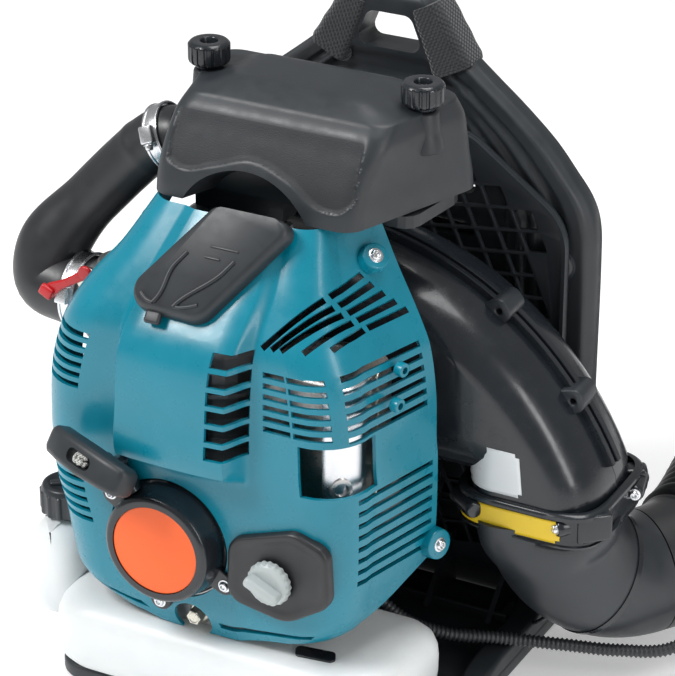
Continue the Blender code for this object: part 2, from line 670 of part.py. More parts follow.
def build_air_cleaner():
    def outline(front, rear, front_left, front_right, rear_half, z):
        flat = rounded([(front_left, front, 12), (front_right, front, 12), (rear_half, rear, 14),
                        (-rear_half, rear, 14)], 3)
        return [Vector((x, y, z)) for x, y in flat]

    floor = outline(-37, 32, -90, 90, 98, 366)
    base = loft("air_cleaner_base", [floor, [p + Vector((0, 0, 9)) for p in floor]], "black_plastic")
    cut_box(base, (-80, -36, 350 + GAP), (-10, -16, 368), "UNION")
    box("air_cleaner_element", (-72, -34, 375 + GAP), (72, 20, 425), "element", 5)
    outer = [outline(-84, 40, -86, 68, 112, AIR_BOTTOM), outline(-80, 38, -84, 70, 109, 402),
             outline(-66, 36, -80, 78, 104, 430), outline(-54, 32, -74, 78, 99, AIR_TOP)]
    inner = [outline(-80, 36, -82, 64, 108, AIR_BOTTOM - 5), outline(-76, 34, -80, 66, 105, 402),
             outline(-62, 32, -76, 74, 100, 428), outline(-52, 30, -72, 74, 97, AIR_TOP - 4)]
    cover = loft("air_cleaner_cover", outer, "black_plastic")
    combine(cover, loft("air_cleaner_hollow", inner, None))
    cut_round(cover, (-14, -110, 352), (-14, -60, 352), 54)
    cut_round(cover, (-125, -14, 391), (-90, -14, 391), 23.4)
    for side, word in ((-1, "left"), (1, "right")):
        x = side * 83
        knob = [(0, 20), (13.5, 20), (15, 17), (15, 7), (11, 5), (9, 0), (0, 0)]
        turned(f"air_cleaner_knob_{word}", knob, (x, -8, AIR_TOP + GAP), (0, 0, 1), "black_plastic", 20)


# ---------------------------------------------------------------- recoil starter
def build_starter():
    profile = [(0, 24), (38, 24), (41, 20), (45, -1), (48, -3), (48, -6), (43, -6), (41, 3), (38, 19),
               (35, 21), (0, 21)]
    housing = turned("starter_housing", profile, (CRANK_X, -137 - GAP, CRANK_Z), (0, -1, 0), "gloss_black", 32)
    guide = PULL_HANDLE - PULL_DIR * 30
    inward = Vector((CRANK_X, -150, CRANK_Z))
    cut_round(housing, inward.lerp(guide, 0.35), guide + (guide - inward) * 0.3, 4, sides=12)
    reel = [(30, 12), (30, 9.5), (24, 9.5), (24, 2.5), (30, 2.5), (30, 0), (5, 0), (5, 12)]
    turned("starter_reel", reel, (CRANK_X, -143, CRANK_Z), (0, -1, 0), "black_plastic", 28)
    rope = smooth_route([inward + (guide - inward) * 0.46, guide.lerp(inward, 0.12), PULL_HANDLE - PULL_DIR * 20.5], 3)
    tube("starter_rope", rope, 1.6, "webbing", 2)
    turn = Matrix((GRIP_DIR, PULL_DIR, GRIP_DIR.cross(PULL_DIR))).transposed()
    grip = box("pull_handle", (-39, -9, -11), (39, 9, 11), "black_plastic", 6)
    grip.matrix_world = Matrix.Translation(at(PULL_HANDLE)) @ turn.to_4x4()
    cut_round(grip, PULL_HANDLE - PULL_DIR * 20, PULL_HANDLE - PULL_DIR * 4, 9, "UNION", 16)


# ---------------------------------------------------------------- blower tube and control handle
def on_pipe(distance):
    return PIPE_START + PIPE_DIR * distance


def bellows_route(steps=12):
    start, end = ELBOW_END + ELBOW_OUT * 4 * GAP, PIPE_START - PIPE_DIR * 4 * GAP
    bend = bezier(start + ELBOW_OUT * 4, start + ELBOW_OUT * 70, end - PIPE_DIR * 80, end - PIPE_DIR * 4, steps)
    return [start, start + ELBOW_OUT * 2, *bend, end - PIPE_DIR * 2, end]


def build_pipe():
    tube("flexible_hose", bellows_route(), 51, "rubber", 5)
    cuff = [(54, 26), (54, 0), (46.5, 0), (46.5, 26)]
    turned("hose_cuff", cuff, PIPE_START, PIPE_DIR, "rubber", 24)
    swivel = [(42, 260), (45, 215), (46, 210), (46, 0), (43, 0), (43, 210), (39.5, 260)]
    turned("swivel_pipe", swivel, PIPE_START, PIPE_DIR, "gloss_black", 24)
    long_pipe = [(42.5, 460), (44.6, 60), (47.5, 56), (47.5, 2), (45.4, 2), (43.4, 48), (42.8, 50), (40, 62),
                 (39.5, 460)]
    turned("blower_pipe", long_pipe, on_pipe(214), PIPE_DIR, "gloss_black", 24)
    reach = (PIPE_END - PIPE_START).length
    start = 214 + 462
    tip = reach - start
    nozzle = [(NOZZLE_RADIUS, tip), (NOZZLE_RADIUS + 2, tip - 60), (42, 30), (44, 26), (44, 0), (40, 0),
              (NOZZLE_RADIUS - 3, tip)]
    turned("nozzle", nozzle, on_pipe(start), PIPE_DIR, "gloss_black", 24)


HANDLE_AT = 105.0
HANDLE_UP = Vector((0, -PIPE_DIR.z, PIPE_DIR.y))


def handle_point(side, up, along):
    """A point beside the pipe, measured from the control handle's ring."""
    return on_pipe(HANDLE_AT + along) + Vector((side, 0, 0)) + HANDLE_UP * up


def build_control_handle():
    ring = [(50.5, 17), (50.5, -17), (46.4, -17), (46.4, 17)]
    handle = turned("control_handle", ring, on_pipe(HANDLE_AT), PIPE_DIR, "black_plastic", 24)
    route = smooth_route([handle_point(0, 48.6, 0), handle_point(0, 80, -6), handle_point(0, 125, -26),
                          handle_point(0, 160, -42)], 3)
    combine(handle, as_mesh(tube("grip", route, 15, None, 3)), "UNION")
    turn = Matrix((Vector((1, 0, 0)), PIPE_DIR, HANDLE_UP)).transposed()
    cut_boxes(handle, [(handle_point(0, 158, -18), (27, 48, 27), turn)], "UNION")
    blade = rounded([(-5, 144, 1), (4, 144, 2), (20, 114, 5), (16, 101, 3), (11, 102, 2), (7, 116, 4)], 3)
    side_view = Matrix((PIPE_DIR, HANDLE_UP, Vector((1, 0, 0)))).transposed().to_4x4()
    plate("throttle_trigger", [blade], 10, Matrix.Translation(at(on_pipe(HANDLE_AT))) @ side_view,
          "black_plastic")
    small_box("stop_switch", handle_point(0, 174.8, -14), (10, 16, 6), turn, "red_plastic")
    small_box("throttle_lock", handle_point(-17, 150, -14), (6, 12, 28), turn, "black_plastic")


def small_box(name, centre, size, turn, material):
    half = Vector(size) / 2
    return box(name, centre - half, centre + half, material, 1, 1, turn)


def build_throttle_cable():
    hose = bellows_route(6)
    beside = []
    for before, point, after in zip(hose[2:], hose[3:-2], hose[4:]):
        along = (after - before).normalized()
        beside.append(point + Vector((along.y, -along.x, 0)) * 62 + Vector((0, 0, 5)))
    knots = [(62, -22, 58), (84, -20, 46), (110, -8, 37), (142, 10, 33), (186, 28, 30), (222, 44, 27),
             (258, 62, 30), (286, 100, 50), *beside]
    knots += [on_pipe(12) + Vector((60, 0, 14)), on_pipe(56) + Vector((48, 0, 46)),
              on_pipe(84) + Vector((27, 0, 76)), handle_point(44, 128, -4), handle_point(32, 152, -13),
              handle_point(15.5, 157, -16)]
    tube("throttle_cable", smooth_route(knots, 3), 4.5, "rubber", 2)


clear_scene()
PARTS = new_collection("backpack_leaf_blower")
CUTTERS = new_collection("cutters")
make_materials()
build_frame()
build_mounts()
build_harness()
build_fan_case()
build_fan()
build_screen()
build_elbow()
build_bottom_end()
build_top_end()
build_fuel_system()
build_engine_cover()
build_small_covers()
build_air_cleaner()
build_starter()
build_pipe()
build_control_handle()
build_throttle_cable()
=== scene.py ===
"""The look of the backpack leaf blower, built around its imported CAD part.

Positions are in millimetres in the part's own frame and turned into metres by at(). +X is the wearer's right,
-Y the engine side, +Y the wearer's side, +Z up.
"""

from math import atan2, cos, exp, floor, pi, radians, sin, sqrt, tan

import bmesh
import bpy
from mathutils import Matrix, Vector


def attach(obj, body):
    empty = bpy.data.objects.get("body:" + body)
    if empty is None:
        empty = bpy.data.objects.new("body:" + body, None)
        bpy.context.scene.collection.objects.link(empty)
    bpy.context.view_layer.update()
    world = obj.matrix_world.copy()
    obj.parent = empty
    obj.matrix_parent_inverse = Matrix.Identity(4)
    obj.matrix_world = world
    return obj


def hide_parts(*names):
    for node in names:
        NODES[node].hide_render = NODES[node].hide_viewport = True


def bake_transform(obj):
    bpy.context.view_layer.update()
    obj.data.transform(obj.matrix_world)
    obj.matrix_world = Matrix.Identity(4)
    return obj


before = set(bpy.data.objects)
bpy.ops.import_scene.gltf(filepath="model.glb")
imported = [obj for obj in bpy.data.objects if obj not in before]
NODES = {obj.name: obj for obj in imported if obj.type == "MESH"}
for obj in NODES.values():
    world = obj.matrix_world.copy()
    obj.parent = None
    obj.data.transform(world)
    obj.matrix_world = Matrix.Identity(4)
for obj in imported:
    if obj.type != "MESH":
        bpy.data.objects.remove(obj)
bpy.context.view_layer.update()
MM = 0.001
UP = Vector((0, 0, 1))


# ---------------------------------------------------------------- materials
def add_node(tree, kind, **values):
    made = tree.nodes.new(kind)
    for key, value in values.items():
        if key in made.inputs:
            made.inputs[key].default_value = value
        else:
            setattr(made, key, value)
    return made


def mapped(tree, source, low, high, start=0.3, end=0.7):
    made = tree.nodes.new("ShaderNodeMapRange")
    for index, value in ((1, start), (2, end), (3, low), (4, high)):
        made.inputs[index].default_value = value
    tree.links.new(source, made.inputs[0])
    return made.outputs[0]


def maths(tree, operation, first, second=None):
    made = tree.nodes.new("ShaderNodeMath")
    made.operation = operation
    for socket, value in zip(made.inputs, (first, second)):
        if value is None:
            continue
        if isinstance(value, (int, float)):
            socket.default_value = value
        else:
            tree.links.new(value, socket)
    return made.outputs[0]


def colours(tree, share, low, high):
    mix = tree.nodes.new("ShaderNodeMix")
    mix.data_type = "RGBA"
    mix.inputs[6].default_value = (*low, 1)
    mix.inputs[7].default_value = (*high, 1)
    tree.links.new(share, mix.inputs[0])
    return mix.outputs[2]


class Finish:
    """A Principled material under construction, with its coordinates in metres."""

    def __init__(self, name, use_uv=False):
        self.material = bpy.data.materials.new(name)
        self.material.use_nodes = True
        self.tree = self.material.node_tree
        self.shader = self.tree.nodes["Principled BSDF"]
        place = self.tree.nodes.new("ShaderNodeTexCoord")
        self.place = place.outputs["UV" if use_uv else "Object"]
        self.height = None

    def noise(self, scale, detail=3.0, roughness=0.55, stretch=None):
        made = add_node(self.tree, "ShaderNodeTexNoise", Scale=scale, Detail=detail, Roughness=roughness)
        source = self.place
        if stretch:
            mapping = self.tree.nodes.new("ShaderNodeMapping")
            mapping.inputs["Scale"].default_value = stretch
            self.tree.links.new(self.place, mapping.inputs["Vector"])
            source = mapping.outputs[0]
        self.tree.links.new(source, made.inputs["Vector"])
        return made.outputs["Fac"]

    def cells(self, scale, feature="F1"):
        made = add_node(self.tree, "ShaderNodeTexVoronoi", Scale=scale, feature=feature)
        self.tree.links.new(self.place, made.inputs["Vector"])
        return made.outputs["Distance"]

    def basket(self, pitch, axes=(0, 1), turn=0.0):
        """A plain weave: threads that go over and under, pitch apart in the coordinates' unit."""
        mapping = self.tree.nodes.new("ShaderNodeMapping")
        mapping.inputs["Rotation"].default_value[({0, 1, 2} - set(axes)).pop()] = turn
        self.tree.links.new(self.place, mapping.inputs["Vector"])
        parts = self.tree.nodes.new("ShaderNodeSeparateXYZ")
        self.tree.links.new(mapping.outputs[0], parts.inputs[0])
        waves = [maths(self.tree, "SINE", maths(self.tree, "MULTIPLY", parts.outputs[axis], pi / pitch))
                 for axis in axes]
        return maths(self.tree, "MULTIPLY", *waves)

    def colour(self, share, low, high, start=0.3, end=0.7):
        mixed = colours(self.tree, mapped(self.tree, share, 0, 1, start, end), low, high)
        self.tree.links.new(mixed, self.shader.inputs["Base Color"])

    def rough(self, share, low, high):
        self.tree.links.new(mapped(self.tree, share, low, high), self.shader.inputs["Roughness"])

    def bump(self, share, distance, strength=1.0):
        made = add_node(self.tree, "ShaderNodeBump", Strength=strength, Distance=distance)
        self.tree.links.new(share, made.inputs["Height"])
        if self.height:
            self.tree.links.new(self.height, made.inputs["Normal"])
        self.height = made.outputs["Normal"]
        self.tree.links.new(self.height, self.shader.inputs["Normal"])

    def set(self, **values):
        for key, value in values.items():
            self.shader.inputs[key.replace("_", " ")].default_value = value
        return self


def shade(colour, factor):
    return tuple(min(1.0, channel * factor) for channel in colour)


def moulded(name, colour, rough, grain, depth, spread=0.14, coat=0.0, patch=22):
    """Injection-moulded plastic: slight flow marks, a fine spark-eroded grain and uneven gloss."""
    made = Finish(name)
    cloud = made.noise(patch, 4)
    made.colour(cloud, shade(colour, 1 - spread), shade(colour, 1 + spread))
    made.rough(made.noise(patch * 4, 5), rough - 0.06, rough + 0.06)
    made.bump(made.noise(grain, 2), depth)
    made.bump(made.noise(60, 2), 0.00025, 0.35)
    if coat:
        made.set(Coat_Weight=coat, Coat_Roughness=0.06)
    return made.material


def metal(name, colour, rough, stretch, spread=0.12, grain=900, depth=0.00003):
    made = Finish(name)
    lines = made.noise(grain, 4, 0.6, stretch)
    made.colour(made.noise(30, 5), shade(colour, 1 - spread), shade(colour, 1 + spread))
    made.rough(lines, rough - 0.08, rough + 0.1)
    made.bump(lines, depth)
    made.set(Metallic=1.0)
    return made.material


def woven(name, colour, pitch, use_uv=True, axes=(0, 1), turn=0.0, depth=0.0004, contrast=0.45, sheen=0.3):
    made = Finish(name, use_uv)
    threads = made.basket(pitch, axes, turn)
    lifted = maths(made.tree, "ABSOLUTE", threads)
    made.colour(lifted, shade(colour, 1 - contrast), shade(colour, 1 + contrast), 0.05, 0.7)
    made.rough(made.noise(40, 4), 0.75, 0.95)
    made.bump(threads, depth)
    made.set(Sheen_Weight=sheen, Sheen_Roughness=0.5)
    return made.material


def spacer_mesh(name, colour, cell):
    """Padded spacer fabric: small open cells over a foam."""
    made = Finish(name)
    holes = made.cells(cell)
    made.colour(holes, shade(colour, 0.25), shade(colour, 1.35), 0.1, 0.5)
    made.rough(made.noise(60, 4), 0.8, 0.95)
    made.bump(holes, 0.0006)
    made.set(Sheen_Weight=0.25, Sheen_Roughness=0.6)
    return made.material


def tank_plastic():
    made = Finish("tank_plastic")
    made.colour(made.noise(9, 3), (0.74, 0.78, 0.79), (0.86, 0.88, 0.88))
    made.rough(made.noise(70, 5), 0.34, 0.46)
    made.bump(made.noise(240, 3), 0.00012)
    made.set(Subsurface_Weight=0.35, Subsurface_Scale=0.012)
    made.set(Subsurface_Radius=(1.0, 0.9, 0.8))
    return made.material


def heated_steel():
    made = Finish("heated_steel")
    made.colour(made.noise(24, 4), (0.42, 0.36, 0.28), (0.72, 0.72, 0.73))
    made.rough(made.noise(300, 4, 0.6, (1, 1, 9)), 0.22, 0.42)
    made.bump(made.noise(400, 3), 0.00004)
    made.set(Metallic=1.0)
    return made.material


def paper():
    made = Finish("pleated_paper")
    made.colour(made.noise(160, 4), (0.55, 0.44, 0.25), (0.72, 0.62, 0.4))
    made.bump(made.noise(420, 3, 0.5, (9, 0.2, 0.2)), 0.0006)
    made.set(Roughness=0.9)
    return made.material


TEAL = moulded("teal_plastic", (0.0, 0.2, 0.285), 0.3, 900, 0.000012, 0.06, 0.12)
MATTE = moulded("matte_black", (0.021, 0.025, 0.029), 0.44, 1500, 0.00006)
PANEL = moulded("grained_black", (0.017, 0.02, 0.023), 0.62, 1250, 0.00032)
GLOSS = moulded("gloss_black_plastic", (0.012, 0.015, 0.019), 0.24, 1100, 0.000015, 0.12, 0.15)
SATIN = moulded("satin_black", (0.022, 0.026, 0.031), 0.38, 1300, 0.00004)
RUBBER = moulded("black_rubber", (0.018, 0.019, 0.021), 0.4, 800, 0.00004)
CONDUIT = moulded("conduit_plastic", (0.03, 0.032, 0.035), 0.42, 900, 0.00004)
ORANGE = moulded("orange_disc", (0.95, 0.125, 0.01), 0.36, 1000, 0.00001, 0.03)
RED = moulded("red_plastic", (0.5, 0.012, 0.016), 0.3, 900, 0.00002, 0.1)
WHITE_LABEL = moulded("white_label", (0.72, 0.75, 0.76), 0.32, 900, 0.00001, 0.03)
YELLOW_LABEL = moulded("yellow_label", (0.78, 0.53, 0.015), 0.32, 900, 0.00001, 0.03)
TANK = tank_plastic()
STEEL = metal("brushed_steel", (0.72, 0.73, 0.75), 0.24, (1, 1, 14))
ZINC = metal("zinc_plate", (0.66, 0.64, 0.56), 0.3, (1, 1, 1))
ALLOY = metal("cast_alloy", (0.55, 0.56, 0.57), 0.46, (1, 1, 1), 0.15, 1400, 0.00012)
HOT = heated_steel()
PAPER = paper()
CAP_GREY = moulded("grey_cap", (0.42, 0.46, 0.46), 0.4, 1100, 0.00005, 0.08)
WRAP = woven("handle_wrap", (0.02, 0.023, 0.026), 0.0021)
WEBBING = woven("strap_webbing", (0.02, 0.021, 0.023), 0.0017)
PAD_CLOTH = spacer_mesh("spacer_mesh", (0.028, 0.03, 0.033), 330)
STRAP_CLOTH = woven("strap_cloth", (0.021, 0.022, 0.024), 0.0012, False, (0, 2), 0.785)
THREAD = woven("stitching", (0.09, 0.095, 0.1), 0.0008, False, (0, 2))
CORD = woven("pull_cord", (0.5, 0.5, 0.48), 0.0013, False, (0, 2), 0.6)


# ---------------------------------------------------------------- geometry helpers
def at(*xyz):
    return Vector(xyz[0] if len(xyz) == 1 else xyz) * MM


def finish_mesh(bm, name, angle=35):
    bmesh.ops.recalc_face_normals(bm, faces=bm.faces)
    mesh = bpy.data.meshes.new(name)
    bm.to_mesh(mesh)
    bm.free()
    mesh.shade_smooth()
    mesh.set_sharp_from_angle(angle=radians(angle))
    return mesh


def piece(name, mesh, material, body="frame", instead=()):
    """Adds a visible piece, which rides on a CAD body and may stand for CAD nodes."""
    obj = bpy.data.objects.new(name, mesh)
    bpy.context.scene.collection.objects.link(obj)
    for each in material if isinstance(material, (list, tuple)) else [material]:
        mesh.materials.append(each)
    if body:
        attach(obj, body)
    if instead:
        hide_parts(*instead)
    return obj


def joined(parts, name, angle=35):
    """One mesh from several bmeshes."""
    whole = bmesh.new()
    for part in parts:
        mesh = bpy.data.meshes.new("part")
        bmesh.ops.recalc_face_normals(part, faces=part.faces)
        part.to_mesh(mesh)
        part.free()
        whole.from_mesh(mesh)
        bpy.data.meshes.remove(mesh)
    mesh = bpy.data.meshes.new(name)
    whole.to_mesh(mesh)
    whole.free()
    mesh.shade_smooth()
    mesh.set_sharp_from_angle(angle=radians(angle))
    return mesh


def rows_bm(rows, closed=True, caps=True, ring=False):
    """A surface through rows of points in millimetres; ring joins the last row to the first."""
    bm = bmesh.new()
    made = [[bm.verts.new(at(point)) for point in row] for row in rows]
    count = len(rows[0])
    pairs = list(zip(made, made[1:]))
    if ring:
        pairs.append((made[-1], made[0]))
    for lower, upper in pairs:
        for i in range(count if closed else count - 1):
            j = (i + 1) % count
            bm.faces.new((lower[i], lower[j], upper[j], upper[i]))
    if caps and closed and not ring:
        bm.faces.new(list(reversed(made[0])))
        bm.faces.new(made[-1])
    return bm


def axes_of(direction, level=UP):
    z = Vector(direction).normalized()
    if abs(z.dot(level)) > 0.99:
        level = Vector((0, 1, 0))
    x = level.cross(z).normalized()
    return x, z.cross(x), z


def lathe_bm(profile, origin, axis, sides=64, wave=None):
    """A closed profile of (radius, height) turned about axis; wave(angle, height, radius) gives a new radius."""
    x, y, z = axes_of(axis)
    origin = Vector(origin)
    rows = []
    for k in range(sides):
        angle = 2 * pi * k / sides
        out = x * cos(angle) + y * sin(angle)
        row = []
        for radius, height in profile:
            reach = wave(angle, height, radius) if wave else radius
            row.append(origin + out * reach + z * height)
        rows.append(row)
    bm = rows_bm(rows, closed=False, caps=False, ring=True)
    bmesh.ops.remove_doubles(bm, verts=bm.verts, dist=1e-7)
    open_edges = [edge for edge in bm.edges if len(edge.link_faces) == 1]
    if open_edges:
        top, bottom = profile[0], profile[-1]
        if top[0] > 0 and bottom[0] > 0:
            bmesh.ops.bridge_loops(bm, edges=open_edges)
    return bm


def round_off(profile, radius=1.0, steps=3, ends=False):
    """A profile with its corners rounded."""
    count = len(profile)
    result = []
    for i, point in enumerate(profile):
        if not ends and i in (0, count - 1):
            result.append(tuple(point))
            continue
        here = Vector(point)
        before, after = Vector(profile[i - 1]) - here, Vector(profile[(i + 1) % count]) - here
        reach = min(radius, before.length * 0.45, after.length * 0.45)
        first, last = here + before.normalized() * reach, here + after.normalized() * reach
        for k in range(steps + 1):
            t = k / steps
            result.append(tuple((1 - t) ** 2 * first + 2 * t * (1 - t) * here + t * t * last))
    return result


def frames_along(route):
    """Parallel-carried (point, side, up, along) frames along a route."""
    result = []
    side = None
    for i, point in enumerate(route):
        along = (route[min(i + 1, len(route) - 1)] - route[max(i - 1, 0)]).normalized()
        if side is None:
            side = UP.cross(along)
            if side.length < 0.1:
                side = Vector((1, 0, 0))
        side = (side - side.dot(along) * along).normalized()
        result.append((point, side, along.cross(side), along))
    return result


def sweep_bm(route, radius, sides=32, caps=True):
    """A tube along route; radius is a number or a function of the distance along it and the angle round it."""
    rows, distance = [], 0.0
    places = frames_along(route)
    for i, (point, side, up, _) in enumerate(places):
        if i:
            distance += (point - places[i - 1][0]).length
        row = []
        for k in range(sides):
            angle = 2 * pi * k / sides
            reach = radius(distance, angle) if callable(radius) else radius
            row.append(point + (side * cos(angle) + up * sin(angle)) * reach)
        rows.append(row)
    return rows_bm(rows, caps=caps)


def bezier(p0, p1, p2, p3, steps):
    return [(1 - t) ** 3 * p0 + 3 * (1 - t) ** 2 * t * p1 + 3 * (1 - t) * t * t * p2 + t ** 3 * p3
            for t in (k / steps for k in range(steps + 1))]


def smooth_route(knots, per_span=12):
    knots = [Vector(knot) for knot in knots]
    padded = [2 * knots[0] - knots[1], *knots, 2 * knots[-1] - knots[-2]]
    points = [knots[0]]
    for a, b, c, d in zip(padded, padded[1:], padded[2:], padded[3:]):
        points += bezier(b, b + (c - a) / 6, c - (d - b) / 6, c, per_span)[1:]
    return points


def resample(route, step):
    """The same route with points step apart."""
    result, carried = [route[0]], 0.0
    for a, b in zip(route, route[1:]):
        length = (b - a).length
        reach = step - carried
        while reach <= length:
            result.append(a.lerp(b, reach / length))
            reach += step
        carried = length - (reach - step)
    if (result[-1] - route[-1]).length > step * 0.3:
        result.append(route[-1])
    return result


def smooth_keys(keys, value):
    """Value read from (position, value...) keys by a smooth curve through them."""
    if value <= keys[0][0]:
        return list(keys[0][1:])
    for i in range(len(keys) - 1):
        low, high = keys[i], keys[i + 1]
        if value <= high[0]:
            width = high[0] - low[0]
            t = (value - low[0]) / width
            before, after = keys[max(i - 1, 0)], keys[min(i + 2, len(keys) - 1)]
            result = []
            for j in range(1, len(low)):
                m0 = (high[j] - before[j]) / max(high[0] - before[0], 1e-9) * width
                m1 = (after[j] - low[j]) / max(after[0] - low[0], 1e-9) * width
                result.append((2 * t ** 3 - 3 * t * t + 1) * low[j] + (t ** 3 - 2 * t * t + t) * m0
                              + (3 * t * t - 2 * t ** 3) * high[j] + (t ** 3 - t * t) * m1)
            return result
    return list(keys[-1][1:])


def ease(value, low, high):
    share = min(1.0, max(0.0, (value - low) / (high - low)))
    return share * share * (3 - 2 * share)


def rounded(corners, steps=6):
    """An outline whose corners (x, y, radius) are arcs."""
    outline = []
    count = len(corners)
    for i, (x, y, radius) in enumerate(corners):
        here = Vector((x, y))
        before = (Vector(corners[i - 1][:2]) - here).normalized()
        after = (Vector(corners[(i + 1) % count][:2]) - here).normalized()
        if radius == 0:
            outline.append(here)
            continue
        half = before.angle(after) / 2
        reach = radius / tan(half)
        first, last = here + before * reach, here + after * reach
        centre = here + (before + after).normalized() * (radius / sin(half))
        start = atan2(*(first - centre).yx)
        sweep = (atan2(*(last - centre).yx) - start + pi) % (2 * pi) - pi
        outline += [centre + radius * Vector((cos(start + sweep * k / steps), sin(start + sweep * k / steps)))
                    for k in range(steps + 1)]
    return outline


def circle(x, y, radius, sides=32):
    return [Vector((x + radius * cos(2 * pi * k / sides), y + radius * sin(2 * pi * k / sides)))
            for k in range(sides)]


def plate_bm(outlines, thickness, matrix, edge=0.0, segments=2):
    """A flat outline with holes, thickness thick about its own plane, its edges rounded by edge."""
    curve = bpy.data.curves.new("plate", "CURVE")
    curve.dimensions = "2D"
    curve.fill_mode = "BOTH"
    curve.extrude = (thickness / 2 - edge) * MM
    curve.bevel_depth = edge * MM
    curve.bevel_resolution = segments
    curve.offset = -edge * MM
    for outline in outlines:
        spline = curve.splines.new("POLY")
        spline.points.add(len(outline) - 1)
        spline.use_cyclic_u = True
        for target, point in zip(spline.points, outline):
            target.co = (point[0] * MM, point[1] * MM, 0, 1)
    obj = bpy.data.objects.new("plate", curve)
    bpy.context.scene.collection.objects.link(obj)
    bpy.context.view_layer.update()
    mesh = bpy.data.meshes.new_from_object(obj.evaluated_get(bpy.context.evaluated_depsgraph_get()))
    bpy.data.objects.remove(obj)
    bpy.data.curves.remove(curve)
    bm = bmesh.new()
    bm.from_mesh(mesh)
    bpy.data.meshes.remove(mesh)
    bmesh.ops.remove_doubles(bm, verts=bm.verts, dist=1e-6)
    bmesh.ops.transform(bm, matrix=matrix, verts=bm.verts)
    return bm


def facing_front(y):
    return Matrix.Translation(at(0, y, 0)) @ Matrix.Rotation(radians(90), 4, "X")


def basis(x, y, z, origin):
    return Matrix.Translation(at(origin)) @ Matrix((Vector(x), Vector(y), Vector(z))).transposed().to_4x4()


def block_bm(centre, size, turn=None, bevel=1.5, segments=3):
    """A block with rounded edges; size along its own axes, turn a 3x3 matrix."""
    bm = bmesh.new()
    place = Matrix.Translation(at(centre)) @ (turn.to_4x4() if turn else Matrix.Identity(4))
    bmesh.ops.create_cube(bm, size=1, matrix=Matrix.Diagonal((*at(size), 1)))
    if bevel:
        bmesh.ops.bevel(bm, geom=bm.edges[:] + bm.verts[:], offset=bevel * MM, segments=segments, profile=0.5,
                        affect="EDGES", clamp_overlap=True)
    bmesh.ops.transform(bm, matrix=place, verts=bm.verts)
    return bm


def apply(obj):
    """Replaces an object's mesh with its evaluated one, its modifiers gone."""
    bpy.context.view_layer.update()
    graph = bpy.context.evaluated_depsgraph_get()
    mesh = bpy.data.meshes.new_from_object(obj.evaluated_get(graph))
    old = obj.data
    obj.modifiers.clear()
    obj.data = mesh
    bpy.data.meshes.remove(old)
    return obj


def cut(mesh, tools, operation="DIFFERENCE"):
    """The mesh after Booleans with a list of bmeshes."""
    base = bpy.data.objects.new("base", mesh)
    bpy.context.scene.collection.objects.link(base)
    extra = []
    for tool in tools:
        bmesh.ops.recalc_face_normals(tool, faces=tool.faces)
        tool_mesh = bpy.data.meshes.new("tool")
        tool.to_mesh(tool_mesh)
        tool.free()
        cutter = bpy.data.objects.new("tool", tool_mesh)
        bpy.context.scene.collection.objects.link(cutter)
        extra.append(cutter)
        modifier = base.modifiers.new("cut", "BOOLEAN")
        modifier.operation = operation
        modifier.object = cutter
        modifier.solver = "EXACT"
    apply(base)
    result = base.data
    bpy.data.objects.remove(base)
    for cutter in extra:
        data = cutter.data
        bpy.data.objects.remove(cutter)
        bpy.data.meshes.remove(data)
    return result


def bevelled(obj, width, segments=2, angle=35):
    modifier = obj.modifiers.new("edges", "BEVEL")
    modifier.width = width * MM
    modifier.segments = segments
    modifier.limit_method = "ANGLE"
    modifier.angle_limit = radians(angle)
    modifier.harden_normals = False
    return obj


def screw_bm(origin, axis, radius=3.5, height=2.4):
    """A pan-head screw with a round recess, on a washer."""
    profile = round_off([(0, height * 0.35), (radius * 0.42, height * 0.35), (radius * 0.5, height),
                         (radius * 0.8, height), (radius, height * 0.4), (radius, 0), (radius * 1.35, 0),
                         (radius * 1.35, -0.8), (0, -0.8)], 0.4, 2)
    return lathe_bm(profile, origin, axis, 24)


# ---------------------------------------------------------------- engine cover
REAR, WALL = -40.0, 3.0
CRANK = Vector((-45, 0, 143))
COVER_KEYS = [
    # z, left x, right x at the front and at the rear, front y, nose depth, nose left, nose right, corner radius
    (66, -100, 55, 70, -130, 0, -56, 10, 36), (90, -136, 86, 102, -138, 0, -84, 10, 36),
    (115, -144, 94, 110, -140, 0, -84, 12, 36), (140, -148, 97, 113, -141, 0, -84, 14, 36),
    (165, -154, 98, 114, -142, 0, -84, 20, 36), (203, -157, 98, 114, -142, 0.5, -84, 22, 36),
    (213, -157, 97, 113, -142, 19, -84, 22, 36), (250, -155, 95, 112, -141, 20, -83, 22, 36),
    (285, -146, 89, 107, -139, 19, -82, 23, 36), (303, -137, 82, 100, -136, 16, -80, 24, 36),
    (320, -126, 73, 92, -127, 12, -76, 26, 34), (340, -109, 62, 82, -115, 8, -68, 28, 28),
    (376, -88, 48, 66, -90, 3, -56, 24, 20)]


